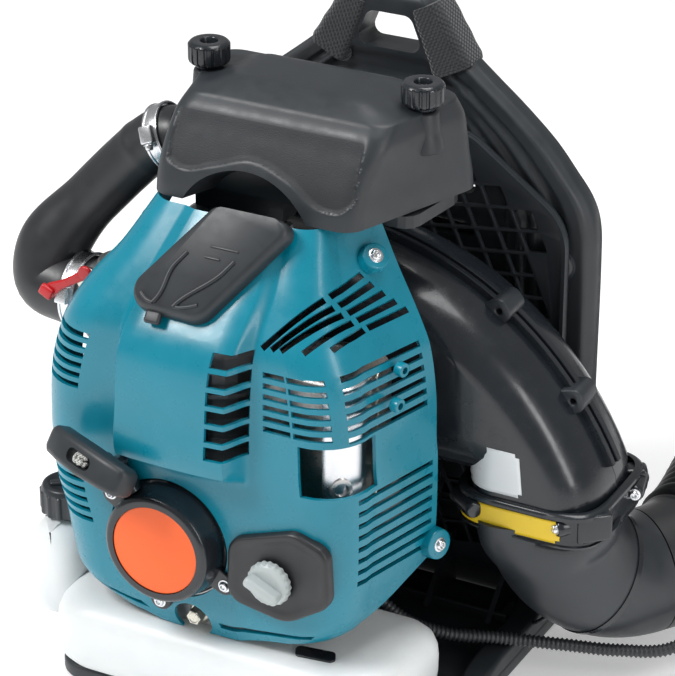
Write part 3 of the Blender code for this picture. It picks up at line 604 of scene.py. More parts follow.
def cover_point(z, t):
    """The engine cover's outside: t runs 0-9 from its rear left edge round the front to its rear right."""
    left, front_right, right, front, nose, nose_left, nose_right, corner = smooth_keys(COVER_KEYS, z)
    nose = max(nose, 0)
    corner_y = front + corner
    if t <= 1:
        return Vector((left + 2 * t, REAR + (corner_y - REAR) * t, z))
    if t <= 2:
        angle = radians(180 + 90 * (t - 1))
        return Vector((left + 2 + corner + corner * cos(angle), corner_y + corner * sin(angle), z))
    if t <= 7:
        stops = [left + 2 + corner, nose_left, nose_left + 10, nose_right - 10, nose_right,
                 front_right - corner]
        k = min(int(t - 2), 4)
        x = stops[k] + (stops[k + 1] - stops[k]) * (t - 2 - k)
        rise = ease(x, nose_left - 1, nose_left + 11) * (1 - ease(x, nose_right - 11, nose_right + 1))
        bow = 2.5 * (1 - ((x - (nose_left + nose_right) / 2) / 50) ** 2) * rise
        return Vector((x, front - nose * rise - bow * min(1, nose / 10), z))
    if t <= 8:
        angle = radians(270 + 90 * (t - 7))
        return Vector((front_right - corner + corner * cos(angle), corner_y + corner * sin(angle), z))
    return Vector((front_right + (right - front_right) * (t - 8), corner_y + (REAR - corner_y) * (t - 8), z))


def lifted(z, t):
    """Below z 130 the rows follow the cover's rising bottom edge."""
    edge = smooth_keys([(0, 118), (0.6, 104), (1.2, 84), (2, 72), (3, 67), (5, 67), (6, 70), (6.8, 76), (7.6, 84),
                        (8.2, 98), (9, 124)], t)[0]
    if z >= 130:
        return z
    return edge + (z - 66) / 64 * (130 - edge)


# t range, rows of slots (lowest z, highest z), bars that split them
LADDERS = [
    ((7.62, 8.86), [(244 + 8.7 * k, 248.4 + 8.7 * k) for k in range(6)], ()),
    ((7.72, 8.92), [(131 + 9.3 * k, 135 + 9.3 * k) for k in range(8)], ()),
    ((6.26, 7.42), [(247 + 7.9 * k, 251.2 + 7.9 * k) for k in range(6)], (6.86,)),
    ((6.96, 8.06), [(204, 242)], ()),
    ((4.84, 5.97), [(227.5 + 13.4 * k, 237.6 + 13.4 * k) for k in range(6)], ()),
    ((1.3, 2.06), [(244 + 7.8 * k, 248.4 + 7.8 * k) for k in range(6)], ()),
    ((1.42, 2.1), [(139 + 7.8 * k, 143 + 7.8 * k) for k in range(7)], ()),
    ((1.66, 3.3), [(76, 81)], ()),
    ((4.86, 7.3), [(75.2, 80.2)], ()),
]


# each slot over the right shoulder, as (z, t) points from its start on the front, by its rib, to its upper end
TOP_SLOTS = [[(306 + 0.5 * k, 6.2 + 0.35 * k), (336.5 - 6.2 * k, 7.7 + 0.12 * k), (342 - 7.3 * k, 8.38 + 0.12 * k)]
             for k in range(5)]


def slot_cutter(low, high, width):
    """A deep straight cutter between two points of the cover's shoulder."""
    out = Vector((0.3, -0.72, 0.62)).normalized()
    side = (high - low).cross(out).normalized() * width / 2
    return rows_bm([[end - side - out * 24, end + side - out * 24, end + side + out * 22, end - side + out * 22]
                    for end in (low, high)])


def engine_cover():
    cuts_t, cuts_z = set(), set()
    for (low, high), rows, bars in LADDERS:
        cuts_t.update((low, high))
        for bar in bars:
            cuts_t.update((bar - 0.025, bar + 0.025))
        for pair in rows:
            cuts_z.update(pair)

    def filled(cuts, low, high, step):
        """The cuts, with even steps between them."""
        values = sorted({low, high, *cuts})
        merged = [values[0]]
        for value in values[1:]:
            parts = max(1, round((value - merged[-1]) / step))
            start = merged[-1]
            merged += [start + (value - start) * k / parts for k in range(1, parts + 1)]
        return merged

    columns = filled(cuts_t | {1, 2, 3, 4, 5, 6, 7, 8}, 0, 9, 0.12)
    levels = filled(cuts_z | {66, 130}, 66, 376, 5)
    bm = bmesh.new()
    grid = [[bm.verts.new(at(cover_point(lifted(z, t), t))) for t in columns] for z in levels]
    for z0, z1, lower, upper in zip(levels, levels[1:], grid, grid[1:]):
        for i in range(len(columns) - 1):
            middle, height = (columns[i] + columns[i + 1]) / 2, (z0 + z1) / 2
            open_here = any(
                low < middle < high and any(a < height < b for a, b in rows)
                and not any(abs(middle - bar) < 0.025 for bar in bars)
                for (low, high), rows, bars in LADDERS)
            if not open_here:
                bm.faces.new((lower[i], lower[i + 1], upper[i + 1], upper[i]))
    for vert in [vert for vert in bm.verts if not vert.link_faces]:
        bm.verts.remove(vert)
    mesh = bpy.data.meshes.new("engine_cover")
    bm.to_mesh(mesh)
    bm.free()
    shell = bpy.data.objects.new("shell", mesh)
    bpy.context.scene.collection.objects.link(shell)
    skin = shell.modifiers.new("skin", "SOLIDIFY")
    skin.thickness = WALL * MM
    skin.offset = -1
    apply(shell)
    mesh = shell.data
    bpy.data.objects.remove(shell)
    tools = [lathe_bm([(0, -20), (47, -20), (47, 20), (0, 20)], CRANK + Vector((0, -142, 0)), (0, 1, 0), 72)]
    for start, rib, end in TOP_SLOTS:
        start, rib, end = cover_point(*start), cover_point(*rib), cover_point(*end)
        tools.append(slot_cutter(start, start.lerp(rib, 0.95), 4.6))
        tools.append(slot_cutter(rib.lerp(end, 0.05), end, 4.6))
    notch = block_bm((-150, -54, 274), (100, 48, 92), None, 10, 4)
    drain = lathe_bm([(0, -20), (15, -20), (15, 20), (0, 20)], (-31, -132, 77), (0, 1, 0), 32)
    mesh = cut(mesh, [*tools, notch, drain])
    mesh.materials.clear()
    cover = piece("cover_shell", mesh, TEAL, "frame", ["engine_cover"])
    mesh.set_sharp_from_angle(angle=radians(38))
    bevelled(cover, 0.55, 2, 50)
    return cover


def cover_details():
    """Screw ears, their screws and the slot bosses."""
    ears = []
    for place, axis, size in (((74, -60, 353), (0.62, -0.35, 0.7), 9.5), ((117, -44, 133), (0.95, -0.3, 0.1), 11),
                              ((-112, -46, 339), (-0.6, -0.35, 0.7), 9), ((-152, -44, 128), (-0.95, -0.3, 0.1), 10)):
        profile = round_off([(0, 2.2), (size, 2.2), (size + 0.8, -7), (0, -7)], 1.2, 3)
        ears.append(lathe_bm(profile, place, axis, 40))
    piece("cover_ears", joined(ears, "cover_ears"), TEAL, "frame")
    rings = []
    for place in ((104, -78, 283), (107, -90, 262)):
        ring = round_off([(2.6, 3.4), (5, 3.4), (5, -3), (2.6, -3)], 0.6, 2)
        rings.append(lathe_bm(ring, place, (0.97, -0.24, 0), 28))
    piece("cover_bosses", joined(rings, "cover_bosses"), TEAL, "frame")
    screws = [screw_bm(Vector(place) + Vector(axis).normalized() * 2.6, axis, 4)
              for place, axis in (((74, -60, 353), (0.62, -0.35, 0.7)), ((117, -44, 133), (0.95, -0.3, 0.1)),
                                  ((-112, -46, 339), (-0.6, -0.35, 0.7)), ((-152, -44, 128), (-0.95, -0.3, 0.1)))]
    piece("cover_screws", joined(screws, "cover_screws"), STEEL, "frame")


# ---------------------------------------------------------------- air cleaner
def air_cover_outline(z, count=120):
    """Half-rounded outline of the air-cleaner cover at height z, as (x, y)."""
    keys = [(377, -84, 40, -86, 68, 112), (388, -83, 39.5, -85.5, 69, 111), (402, -80, 38, -84, 70, 109),
            (418, -73, 37, -82, 74, 106.5), (430, -66, 36, -80, 78, 104), (437, -61, 34, -77, 78, 101.5),
            (443, -54, 32, -74, 78, 99)]
    front, rear, front_left, front_right, rear_half = smooth_keys(keys, z)
    corners = [(front_left, front, 15), (front_right, front, 17), (rear_half, rear, 16), (-rear_half, rear, 16)]
    outline = rounded(corners, 10)
    lengths = [0.0]
    for a, b in zip(outline, outline[1:] + outline[:1]):
        lengths.append(lengths[-1] + (b - a).length)
    result, k = [], 0
    for i in range(count):
        target = lengths[-1] * i / count
        while lengths[k + 1] < target:
            k += 1
        a, b = outline[k], outline[(k + 1) % len(outline)]
        result.append(a.lerp(b, (target - lengths[k]) / (lengths[k + 1] - lengths[k])))
    return result


def panel_depth(x, z):
    """How far the grained panel lies in, at a point of the cover's front."""
    lower = smooth_keys([(-80, 404), (-62, 398), (-40, 404), (-12, 412), (18, 404), (40, 391), (58, 390),
                         (70, 400)], x)[0]
    inside = ease(z, lower - 1.4, lower + 1.4) * ease(x, -77, -74.5) * (1 - ease(x, 66, 68.5))
    return 2.8 * inside * (1 - ease(z, 424, 441))


def air_cleaner_cover():
    count = 300
    levels = [377 + 66 * k / 54 for k in range(55)]
    rows = []
    for z in levels:
        row = []
        for x, y in air_cover_outline(z, count):
            if y < -46 and -80 < x < 72:
                y += panel_depth(x, z)
            row.append(Vector((x, y, z)))
        rows.append(row)
    outline = air_cover_outline(443, count)
    centre = Vector((2, -10))
    crown = 8.5

    def hump(x, y):
        """The crown's height over the rim at a point of the top."""
        across = 1 - ease(abs(x - 2), 46, 78)
        return crown * across * (1 - ease(abs(y + 12), 22, 44)) + 1.2

    for inset in (0.985, 0.955, 0.9, 0.82, 0.72, 0.6, 0.46, 0.3, 0.14):
        row = []
        for point in outline:
            x, y = centre + (point - centre) * inset
            soft = min(1.0, (1 - inset) / 0.1)
            row.append(Vector((x, y, 443 + 1.6 * sqrt(min(1, (1 - inset) / 0.06)) + (hump(x, y) - 1.2) * soft)))
        rows.append(row)
    bm = rows_bm(rows)
    mesh = finish_mesh(bm, "air_cover", 40)
    arch_outline = [Vector((-14 + 54 * cos(radians(a)), 352 + 54 * sin(radians(a)))) for a in range(-20, 201, 5)]
    arch = []
    for y, grow in ((-120, 1.0), (-84, 1.0), (-57, 0.84)):
        arch.append([Vector((-14 + (x + 14) * grow, y, 352 + (z - 352) * grow)) for x, z in arch_outline])
    hollow = block_bm((0, -8, 398), (164, 66, 58), None, 8, 3)
    hose = lathe_bm([(0, -14), (22.4, -14), (22.4, 14), (0, 14)], (-108, -14, 391), (1, 0, 0), 64)
    mesh = cut(mesh, [rows_bm(arch), hollow, hose])
    cover = piece("air_cover", mesh, MATTE, "frame", ["air_cleaner_cover"])
    mesh.materials.append(PANEL)
    for face in mesh.polygons:
        x, y, z = face.center / MM
        face.material_index = 1 if y < -50 and -77 < x < 68.5 and panel_depth(x, z) > 0.8 else 0
    mesh.set_sharp_from_angle(angle=radians(40))
    bevelled(cover, 1.1, 2, 50)
    posts, nuts = [], []
    for side, body in ((-1, "knob_left"), (1, "knob_right")):
        foot = Vector((side * 83, -8, 0))
        posts.append(lathe_bm(round_off([(0, 443), (11, 443), (12.5, 428), (16, 415), (0, 415)], 2, 3), foot, UP, 40))

        def knurl(angle, height, radius):
            return radius - (0.9 if radius > 13.5 and 4 < height < 18 and cos(angle * 18) < -0.15 else 0)

        profile = [(0, 15), (5.6, 15), (6.4, 20), (12.8, 20), (15, 17.8), (15, 7), (14, 4.6), (10, 3),
                   (9, 0.2), (0, 0.2)]
        profile = round_off(profile, 0.9, 3)
        word = "left" if side < 0 else "right"
        knob = piece(f"knob_{word}", joined([lathe_bm(profile, foot + UP * 443.3, UP, 144, knurl)], "knob"),
                     GLOSS, body, [f"air_cleaner_knob_{word}"])
        nuts.append(knob)
    piece("air_cover_posts", joined(posts, "posts"), MATTE)


# ---------------------------------------------------------------- small covers on the engine
PLUG_COVER_LEAN = 0.6


def plug_frame():
    """Across, up the slope and out of it, with the plug cover's middle."""
    lower, upper = Vector((0, -144, 319)), Vector((0, -95, 379))
    across = Vector((1, 0, 0))
    up = (upper - lower).normalized()
    out = across.cross(up)
    return across, up, out, Vector((-19, 0, 0)) + (lower + upper) / 2 + out * 4


def plug_cover():
    across, up, out, middle = plug_frame()

    def place(x, y, height):
        return middle + across * (x + PLUG_COVER_LEAN * y) + up * y + out * height

    def tongue(grow):
        corners = [(-37 - grow, -39 - grow, 15 + grow), (32 + grow, -41 - grow, 17 + grow), (34 + grow, 40, 8),
                   (-33 - grow, 40, 8)]
        return [(p.x - PLUG_COVER_LEAN * p.y, p.y) for p in
                rounded([(x + PLUG_COVER_LEAN * y, y, r) for x, y, r in corners], 10)]

    rows = []
    for height, grow in ((-6, 0), (-1, 0), (2.5, -0.6), (4.8, -2.2), (6, -5)):
        rows.append([place(x, y, height + (1.2 * (1 - (x / 38) ** 2) if height > 5 else 0)) for x, y in tongue(grow)])
    parts = [rows_bm(rows)]
    for side in (-1, 1):
        route = [place(side * (8 + 10 * ease(y, -32, -4)), y, 7.2 - 0.5 * ease(y, -10, 6)) for y in range(-34, 8, 3)]
        parts.append(sweep_bm(route, lambda d, a: 1.7, 12))
        arc = [place(side * (8 + 14 * k / 8), -34 + 5 * (k / 8) ** 2, 6.6) for k in range(9)]
        parts.append(sweep_bm(arc, lambda d, a: 1.5, 12))
    turn = Matrix((across, up, out)).transposed()
    parts.append(block_bm(place(-2, -43, 0.5), (12, 9, 5), turn, 1.8, 4))
    parts.append(block_bm(place(4, 12, 7.0), (22, 1.4, 1.0), turn, 0.4))
    parts.append(block_bm(place(2, 4, 7.1), (12, 1.4, 1.0), turn, 0.4))
    piece("plug_tongue", joined(parts, "plug_tongue", 40), MATTE, "plug_cover", ["plug_cover"])


def oil_filler():
    outer = rounded([(4, 112, 14), (52, 104, 24), (86, 126, 16), (84, 168, 12), (58, 178, 16), (6, 160, 16)], 10)
    centre = Vector((46, 140))
    rows = []
    for y, grow in ((-140, 1.0), (-145.5, 1.0), (-147.6, 0.975), (-148.4, 0.93), (-147.2, 0.82), (-146.6, 0.7)):
        rows.append([Vector((centre.x + (x - centre.x) * grow, y, centre.y + (z - centre.y) * grow))
                     for x, z in outer])
    piece("oil_bezel", joined([rows_bm(rows)], "oil_bezel", 50), RUBBER, "frame", ["oil_filler_surround"])
    origin = Vector((41, -148.4, 136))

    def scallop(angle, height, radius):
        return radius + (0.5 * cos(angle * 20) if radius > 14.5 and height < 6 else 0)

    profile = round_off([(0, 8.2), (12, 8.2), (14.6, 7), (16.2, 4.6), (16.2, 0.3), (0, 0.3)], 1.2, 3)
    parts = [lathe_bm(profile, origin, (0, -1, 0), 100, scallop)]
    grip = Matrix.Rotation(radians(25), 3, "Y")
    bar = block_bm(origin + Vector((0, -12.6, 0)), (28, 11.5, 8), grip, 3.2, 5)
    parts.append(bar)
    piece("oil_cap_turned", joined(parts, "oil_cap", 45), CAP_GREY, "oil_cap", ["oil_cap"])
    bolt_at = Vector((-31, -121.3, 78))
    hexagon = [bolt_at + Vector((6.2 * cos(radians(a)), 0, 6.2 * sin(radians(a)))) for a in range(0, 360, 60)]
    head = rows_bm([[p + Vector((0, -y, 0)) + (bolt_at - p) * s for p in hexagon]
                    for y, s in ((2.5, 0), (11.4, 0), (12.4, 0.1))])
    flange = lathe_bm(round_off([(0, 4), (7, 4), (9.4, 2), (9.4, 0), (0, 0)], 0.7, 3), bolt_at, (0, -1, 0), 48)
    dimple = lathe_bm(round_off([(0, 12.2), (3.2, 12.2), (4, 12.9), (4.6, 12.9), (4.6, 11), (0, 11)], 0.3, 2),
                      bolt_at,
                      (0, -1, 0), 32)
    piece("drain_bolt_hex", joined([head, flange, dimple], "drain_bolt", 35), ZINC, "frame", ["drain_bolt"])


# ---------------------------------------------------------------- recoil starter
PULL_DIR = Vector((-0.25, -0.85, 0.46)).normalized()
GRIP_DIR = Vector((0.94, -0.33, -0.09))
GRIP_DIR = (GRIP_DIR - GRIP_DIR.dot(PULL_DIR) * PULL_DIR).normalized()
PULL_HANDLE = Vector((-88, -176, 211))


def starter():
    origin = CRANK + Vector((0, -137.3, 0))
    front = (0, -1, 0)
    profile = [(33.8, 24), (38.2, 24), (40.6, 22.2), (41.4, 19), (44.6, 1), (46.4, -1), (46.4, -6), (42, -6),
               (39, 18), (33.8, 20.5)]
    parts = [lathe_bm(round_off(profile, 1.2, 3), origin, front, 96)]
    for angle in (-28, 150, 262):
        out = Vector((cos(radians(angle)), 0, sin(radians(angle))))
        lug = rounded([(-9, -16, 3), (9, -16, 3), (8, 9, 8), (-8, 9, 8)], 6)
        side = Vector((0, -1, 0)).cross(out)
        matrix = basis(side, out, side.cross(out), origin + out * 50 + Vector((0, -3.2, 0)))
        parts.append(plate_bm([lug], 6.4, matrix, 1.0))
    guide = PULL_HANDLE - PULL_DIR * 30
    inward = CRANK + Vector((0, -150, 0))
    toward = (guide - inward).normalized()
    neck = [guide - toward * 14, guide - toward * 6, guide + toward * 2]
    parts.append(sweep_bm([guide - toward * 22, *neck], lambda d, a: 8.4 - 0.05 * d, 28))
    collar = lathe_bm(round_off([(3.2, 4), (9.6, 4), (10.6, 1), (9.6, -3), (3.2, -3)], 1.2, 3), guide + toward * 1,
                      toward, 40)
    parts.append(collar)
    piece("starter_shell", joined(parts, "starter_shell", 40), GLOSS, "frame", ["starter_housing"])
    disc = round_off([(0, 23.2), (33.2, 23.2), (33.7, 22.8), (33.7, 20.8), (0, 20.8)], 0.3, 2)
    piece("starter_disc", joined([lathe_bm(disc, origin, front, 96)], "starter_disc"), ORANGE, "frame")
    screws = []
    for angle in (-28, 150, 262):
        out = Vector((cos(radians(angle)), 0, sin(radians(angle))))
        screws.append(screw_bm(origin + out * 52 + Vector((0, -7, 0)), front, 3.6))
    piece("starter_screws", joined(screws, "starter_screws"), STEEL, "frame")


def pull_handle():
    third = GRIP_DIR.cross(PULL_DIR)
    rows = []
    for x, wide, tall in ((-39, 7.4, 6.4), (-38, 9, 8), (-35, 10.4, 9), (-22, 11, 9.4), (0, 11.6, 9.8), (22, 11, 9.4),
                          (35, 10.4, 9), (38, 9, 8), (39, 7.4, 6.4)):
        outline = rounded([(-wide, -tall, 4.5), (wide, -tall, 4.5), (wide, tall, 4.5), (-wide, tall, 4.5)], 5)
        droop = -0.0035 * x * x
        rows.append([PULL_HANDLE + GRIP_DIR * x + third * a + PULL_DIR * (b + droop) for a, b in outline])
    grip = joined([rows_bm(rows)], "grip", 60)
    turn = Matrix((GRIP_DIR, third, PULL_DIR)).transposed()
    if turn.determinant() < 0:
        turn = Matrix((GRIP_DIR, -third, PULL_DIR)).transposed()
    slot = block_bm(PULL_HANDLE + PULL_DIR * 9, (24, 10, 12), turn, 4.5, 5)
    grip = cut(grip, [slot])
    stem_route = [PULL_HANDLE - PULL_DIR * d for d in (4, 10, 14, 17, 20)]
    stem = sweep_bm(stem_route, lambda d, a: 11 - 3.2 * ease(d, 0, 15), 32)
    handle = piece("pull_grip", cut(grip, [stem], "UNION"), MATTE, "pull_handle", ["pull_handle"])
    handle.data.set_sharp_from_angle(angle=radians(42))
    knot = []
    for k, (side, up) in enumerate(((-3.4, 0), (0.5, 1.8), (3.6, 0.2))):
        centre = PULL_HANDLE + PULL_DIR * (5.4 + up * 0.7) + GRIP_DIR * side
        loop = [centre + (GRIP_DIR * cos(a) * 2.6 + third * sin(a) * 3 + PULL_DIR * sin(a + k) * 1.2)
                for a in (2 * pi * i / 18 for i in range(17))]
        knot.append(sweep_bm(loop, 1.5, 12))
    piece("rope_knot", joined(knot, "rope_knot", 60), CORD, "pull_handle")


# ---------------------------------------------------------------- fan case and duct
DUCT_Y, DUCT_HALF = 35.0, 53.0
SPIRAL = [(0, 119), (100, 128), (190, 152), (280, 184), (304, 199), (330, 224), (349, 246), (363, 264)]
TONGUE = 10.0
ELBOW_START = Vector((168, DUCT_Y, 145))
ELBOW_BEND = 83.0
PIPE_RADIUS = 46.5
ELBOW_OUT = Vector((sin(radians(35)), cos(radians(35)), 0))
ELBOW_END = ELBOW_START + ELBOW_BEND * ELBOW_OUT - Vector((0, 0, ELBOW_BEND))


def scroll_point(angle, offset):
    radius = smooth_keys(SPIRAL, angle)[0] - offset
    turn = radians(TONGUE - angle)
    return Vector((CRANK.x + radius * cos(turn), CRANK.z + radius * sin(turn)))


def scroll_outline(offset, steps=110):
    """The scroll with its down-turned outlet, seen from the front and moved inwards by offset."""
    outline = [scroll_point(SPIRAL[-1][0] * k / steps, offset) for k in range(steps + 1)]
    outer, inner = ELBOW_START.x + DUCT_HALF - offset, ELBOW_START.x - DUCT_HALF + offset
    last = outline[-1]
    outline += [Vector((outer + (last.x - outer) * (1 - ease(k, 0, 6)), last.y + (146 - last.y) * k / 6))
                for k in range(1, 7)]
    tip = Vector((CRANK.x + 119 * cos(radians(TONGUE)), CRANK.z + 119 * sin(radians(TONGUE))))
    outline += [Vector((inner, 146)), Vector((inner, tip.y + 6 + offset)), tip + Vector((-1, 1.3)) * (offset + 1)]
    return outline


def fan_case():
    for side, word in ((-1, "front"), (1, "rear")):
        rows = []
        for share in (0.003, 0.25, 0.45, 0.6, 0.72, 0.82, 0.9, 0.955, 0.985, 1.0):
            inset = 30 * (1 - (1 - share ** 2.6) ** 0.5)
            rows.append([Vector((x, DUCT_Y + side * share * DUCT_HALF, z)) for x, z in scroll_outline(inset)])
        mesh = finish_mesh(rows_bm(rows), word, 40)
        inner = []
        for share in (-0.12, 0.25, 0.6, 0.82, 0.94, 1.0):
            inset = 3 + 29 * (1 - (1 - max(share, 0) ** 2.6) ** 0.5)
            inner.append([Vector((x, DUCT_Y + side * share * (DUCT_HALF - 3), z if z > 147 else 130))
                          for x, z in scroll_outline(inset)])
        hub = lathe_bm([(0, -20), (75 if side > 0 else 30, -20), (75 if side > 0 else 30, 20), (0, 20)],
                       (CRANK.x, DUCT_Y + side * DUCT_HALF, CRANK.z), (0, 1, 0), 80)
        mesh = cut(mesh, [rows_bm(inner), hub])
        case = piece(f"fan_case_{word}_shell", mesh, GLOSS, "frame", [f"fan_case_{word}"])
        mesh.set_sharp_from_angle(angle=radians(40))
        bevelled(case, 0.8, 2, 55)
    seam, bosses = [], []
    path = [scroll_point(angle, 0) for angle in range(196, 362, 3)]
    for offset, low, high in ((5.2, -6.2, -1.6), (3.2, -1.6, 1.2), (5.8, 1.2, 6.6)):
        rows = []
        for i, point in enumerate(path):
            before, after = path[max(i - 1, 0)], path[min(i + 1, len(path) - 1)]
            along = (after - before).normalized()
            out = Vector((-along.y, along.x))
            if out.dot(point - Vector((CRANK.x, CRANK.z))) < 0:
                out = -out
            ring = [(-3, low), (offset - 0.6, low), (offset, low + 0.6), (offset, high - 0.6), (offset - 0.6, high),
                    (-3, high)]
            rows.append([Vector((point.x + out.x * r, DUCT_Y + y, point.y + out.y * r)) for r, y in ring])
        seam.append(rows_bm(rows))
    for angle in (264, 300, 330, 349):
        foot = scroll_point(angle, 0)
        out = (foot - Vector((CRANK.x, CRANK.z))).normalized()
        along = Vector((-out.y, 0, out.x))
        outward = Vector((out.x, 0, out.y))
        centre = Vector((foot.x, DUCT_Y, foot.y)) + outward * 3
        lug = rounded([(-10, -9, 2), (10, -9, 2), (8, 8, 7), (-8, 8, 7)], 6)
        matrix = basis(along, outward, along.cross(outward), centre - along.cross(outward) * 0)
        hole = circle(0, 0, 2.4, 20)
        bosses.append(plate_bm([lug, hole], 25, matrix, 1.2))
    piece("fan_case_seam", joined(seam, "seam", 30), GLOSS, "frame")
    piece("fan_case_bosses", joined(bosses, "bosses"), SATIN, "frame")


def squared_ring(reach, share):
    """A duct section between square with rounded corners (share 0) and round (share 1)."""
    points = []
    for k in range(96):
        angle = 2 * pi * k / 96
        power = 2 + 3.2 * (1 - share)
        scale = (abs(cos(angle)) ** power + abs(sin(angle)) ** power) ** (-1 / power)
        points.append((reach * scale * cos(angle), reach * scale * sin(angle)))
    return points


def elbow():
    rows = []
    for k in range(46):
        angle = radians(90) * k / 45
        centre = ELBOW_START + ELBOW_BEND * (1 - cos(angle)) * ELBOW_OUT - UP * ELBOW_BEND * sin(angle)
        along = (ELBOW_OUT * sin(angle) - UP * cos(angle)).normalized()
        side = Vector((ELBOW_OUT.y, -ELBOW_OUT.x, 0))
        up = along.cross(side).normalized()
        share = ease(k, 0, 12)
        reach = 51.5 - 1.5 * share - (50 - PIPE_RADIUS) * k / 45
        turn = radians(35)
        row = []
        for a, b in squared_ring(reach, share):
            u, v = a * cos(turn) - b * sin(turn), a * sin(turn) + b * cos(turn)
            row.append(centre + side * u + up * v)
        rows.append(row)
    inner = [[centre_in(row) + (p - centre_in(row)) * 0.94 for p in row] for row in rows]
    bm = rows_bm(rows + list(reversed(inner)), ring=True, caps=False)
    piece("elbow_shell", finish_mesh(bm, "elbow", 50), SATIN, "frame", ["elbow"])
    ring = []
    for z, grow in ((-9, 0.0), (-8, 1.6), (-6.4, 2.0), (-5.6, 0.6), (13.4, 0.6), (14.2, 2.6), (17, 2.6),
                    (18.2, 1.6), (19, 0)):
        ring.append([Vector((ELBOW_START.x + a, DUCT_Y + b, ELBOW_START.z + 2 + z))
                     for a, b in squared_ring(54.2 + grow, 0.25)])
    inside = [[Vector((ELBOW_START.x + (p.x - ELBOW_START.x) * 0.955, DUCT_Y + (p.y - DUCT_Y) * 0.955, p.z))
               for p in row] for row in ring]
    parts = [rows_bm(ring + list(reversed(inside)), ring=True, caps=False)]
    rods, screws = [], []
    for place, axis in (((206, -8, 154), (0.75, -0.66, 0)), ((222, 66, 154), (0.97, 0.24, 0)),
                        ((124, -14, 154), (-0.6, -0.8, 0))):
        along = Vector((-axis[1], axis[0], 0))
        centre = Vector(place)
        profile = round_off([(0, 15), (5.6, 15), (6.6, 12), (6.6, -12), (5.6, -15), (0, -15)], 1.2, 3)
        rods.append(lathe_bm(profile, centre, along, 32))
        screws.append(screw_bm(centre - along * 15.3, -along, 3.4))
    turn = Matrix.Rotation(radians(-45), 3, "Z")
    rods.append(block_bm((214, 74, 155), (22, 15, 17), Matrix.Rotation(radians(30), 3, "Z"), 3, 4))
    rods.append(block_bm((218, -4, 154), (10, 26, 21),
                         turn.transposed() @ Matrix.Rotation(radians(90), 3, "Z"), 2, 3))
    piece("duct_ring", joined(parts + rods, "duct_ring", 40), GLOSS, "frame", ["duct_clamp"])
    piece("duct_ring_screws", joined(screws, "ring_screws"), STEEL, "frame")
    tie_angle = radians(58)
    tie = 50 - (50 - PIPE_RADIUS) * 58 / 90
    centre = ELBOW_START + ELBOW_BEND * (1 - cos(tie_angle)) * ELBOW_OUT - UP * ELBOW_BEND * sin(tie_angle)
    along = (ELBOW_OUT * sin(tie_angle) - UP * cos(tie_angle)).normalized()
    side = Vector((ELBOW_OUT.y, -ELBOW_OUT.x, 0))
    up = along.cross(side).normalized()
    rows = []
    for k in range(72):
        a = 2 * pi * k / 72
        out = side * cos(a) + up * sin(a)
        rows.append([centre + out * r + along * w for r, w in ((tie - 0.6, -2.2), (tie + 1, -2.2),
                                                               (tie + 1, 2.2), (tie - 0.6, 2.2))])
    strap = [rows_bm(rows, ring=True, caps=False)]
    low = side * 0.35 - up * 0.94
    low = low if low.z < 0 else -low
    head = centre + low * (tie + 3)
    strap.append(block_bm(head, (8, 6.5, 6), Matrix((side, along, low)).transposed()
                        if Matrix((side, along, low)).determinant() > 0 else None, 1, 3))
    tail = [head + low * 2, head + low * 10 - side * 2, head + low * 16 - side * 6]
    strap.append(sweep_bm(smooth_route(tail, 4), 1.5, 8))
    piece("cable_tie", joined(strap, "cable_tie", 40), GLOSS, "frame")


def centre_in(row):
    total = Vector((0, 0, 0))
    for point in row:
        total += point
    return total / len(row)


def labels():
    """Two blank stickers on the duct, laid on its surface; nothing is printed on them."""
    rows = []
    for i in range(13):
        z = 170 + 34 * i / 12
        row = []
        for k in range(17):
            x = 118 + 48 * k / 16 + (204 - z) * 0.10
            row.append(duct_front(x, z, 0.25))
        rows.append(row)
    sticker("label_white", rows, WHITE_LABEL)
    rows = []
    start, end = radians(213), radians(300)
    for i in range(9):
        z = 142.4 + 17.4 * i / 8
        row = []
        for k in range(33):
            angle = start + (end - start) * k / 32
            power = 2 + 3.2 * 0.75
            scale = (abs(cos(angle)) ** power + abs(sin(angle)) ** power) ** (-1 / power)
            row.append(Vector((ELBOW_START.x + 55.3 * scale * cos(angle), DUCT_Y + 55.3 * scale * sin(angle), z)))
        rows.append(row)
    sticker("label_yellow", rows, YELLOW_LABEL)


def sticker(name, rows, material):
    """A thin closed sheet over rows of points, with its corners clipped."""
    bm = rows_bm(rows, closed=False, caps=False)
    corners = [vert for vert in bm.verts if len(vert.link_faces) == 1]
    bmesh.ops.delete(bm, geom=corners, context="VERTS")
    mesh = finish_mesh(bm, name, 60)
    obj = piece(name, mesh, material, "frame")
    skin = obj.modifiers.new("skin", "SOLIDIFY")
    skin.thickness = 0.3 * MM
    skin.offset = 0


def duct_front(x, z, lift):
    """The fan case's front surface at (x, z), found from its section's rounding."""
    best = 1.0
    for k in range(60):
        inset = 30.0 * k / 59
        inner = ELBOW_START.x - DUCT_HALF
        point = Vector((x, z))
        reach = min(outer_gap(point), x - inner)
        if reach < inset:
            break
        best = inset
    share_inset = min(30.0, best)
    share = (1 - (1 - share_inset / 30) ** 2) ** (1 / 2.6) if share_inset < 30 else 1.0
    return Vector((x, DUCT_Y - share * DUCT_HALF - lift, z))


def outer_gap(point):
    """How far a point is inside the scroll's outer wall."""
    offset = point - Vector((CRANK.x, CRANK.z))
    angle = (TONGUE - atan2(offset.y, offset.x) * 180 / pi) % 360
    if angle < 90:
        angle += 360 if angle < 3 else 0
    radius = smooth_keys(SPIRAL, angle if angle > 90 else 363)[0]
    return radius - offset.length


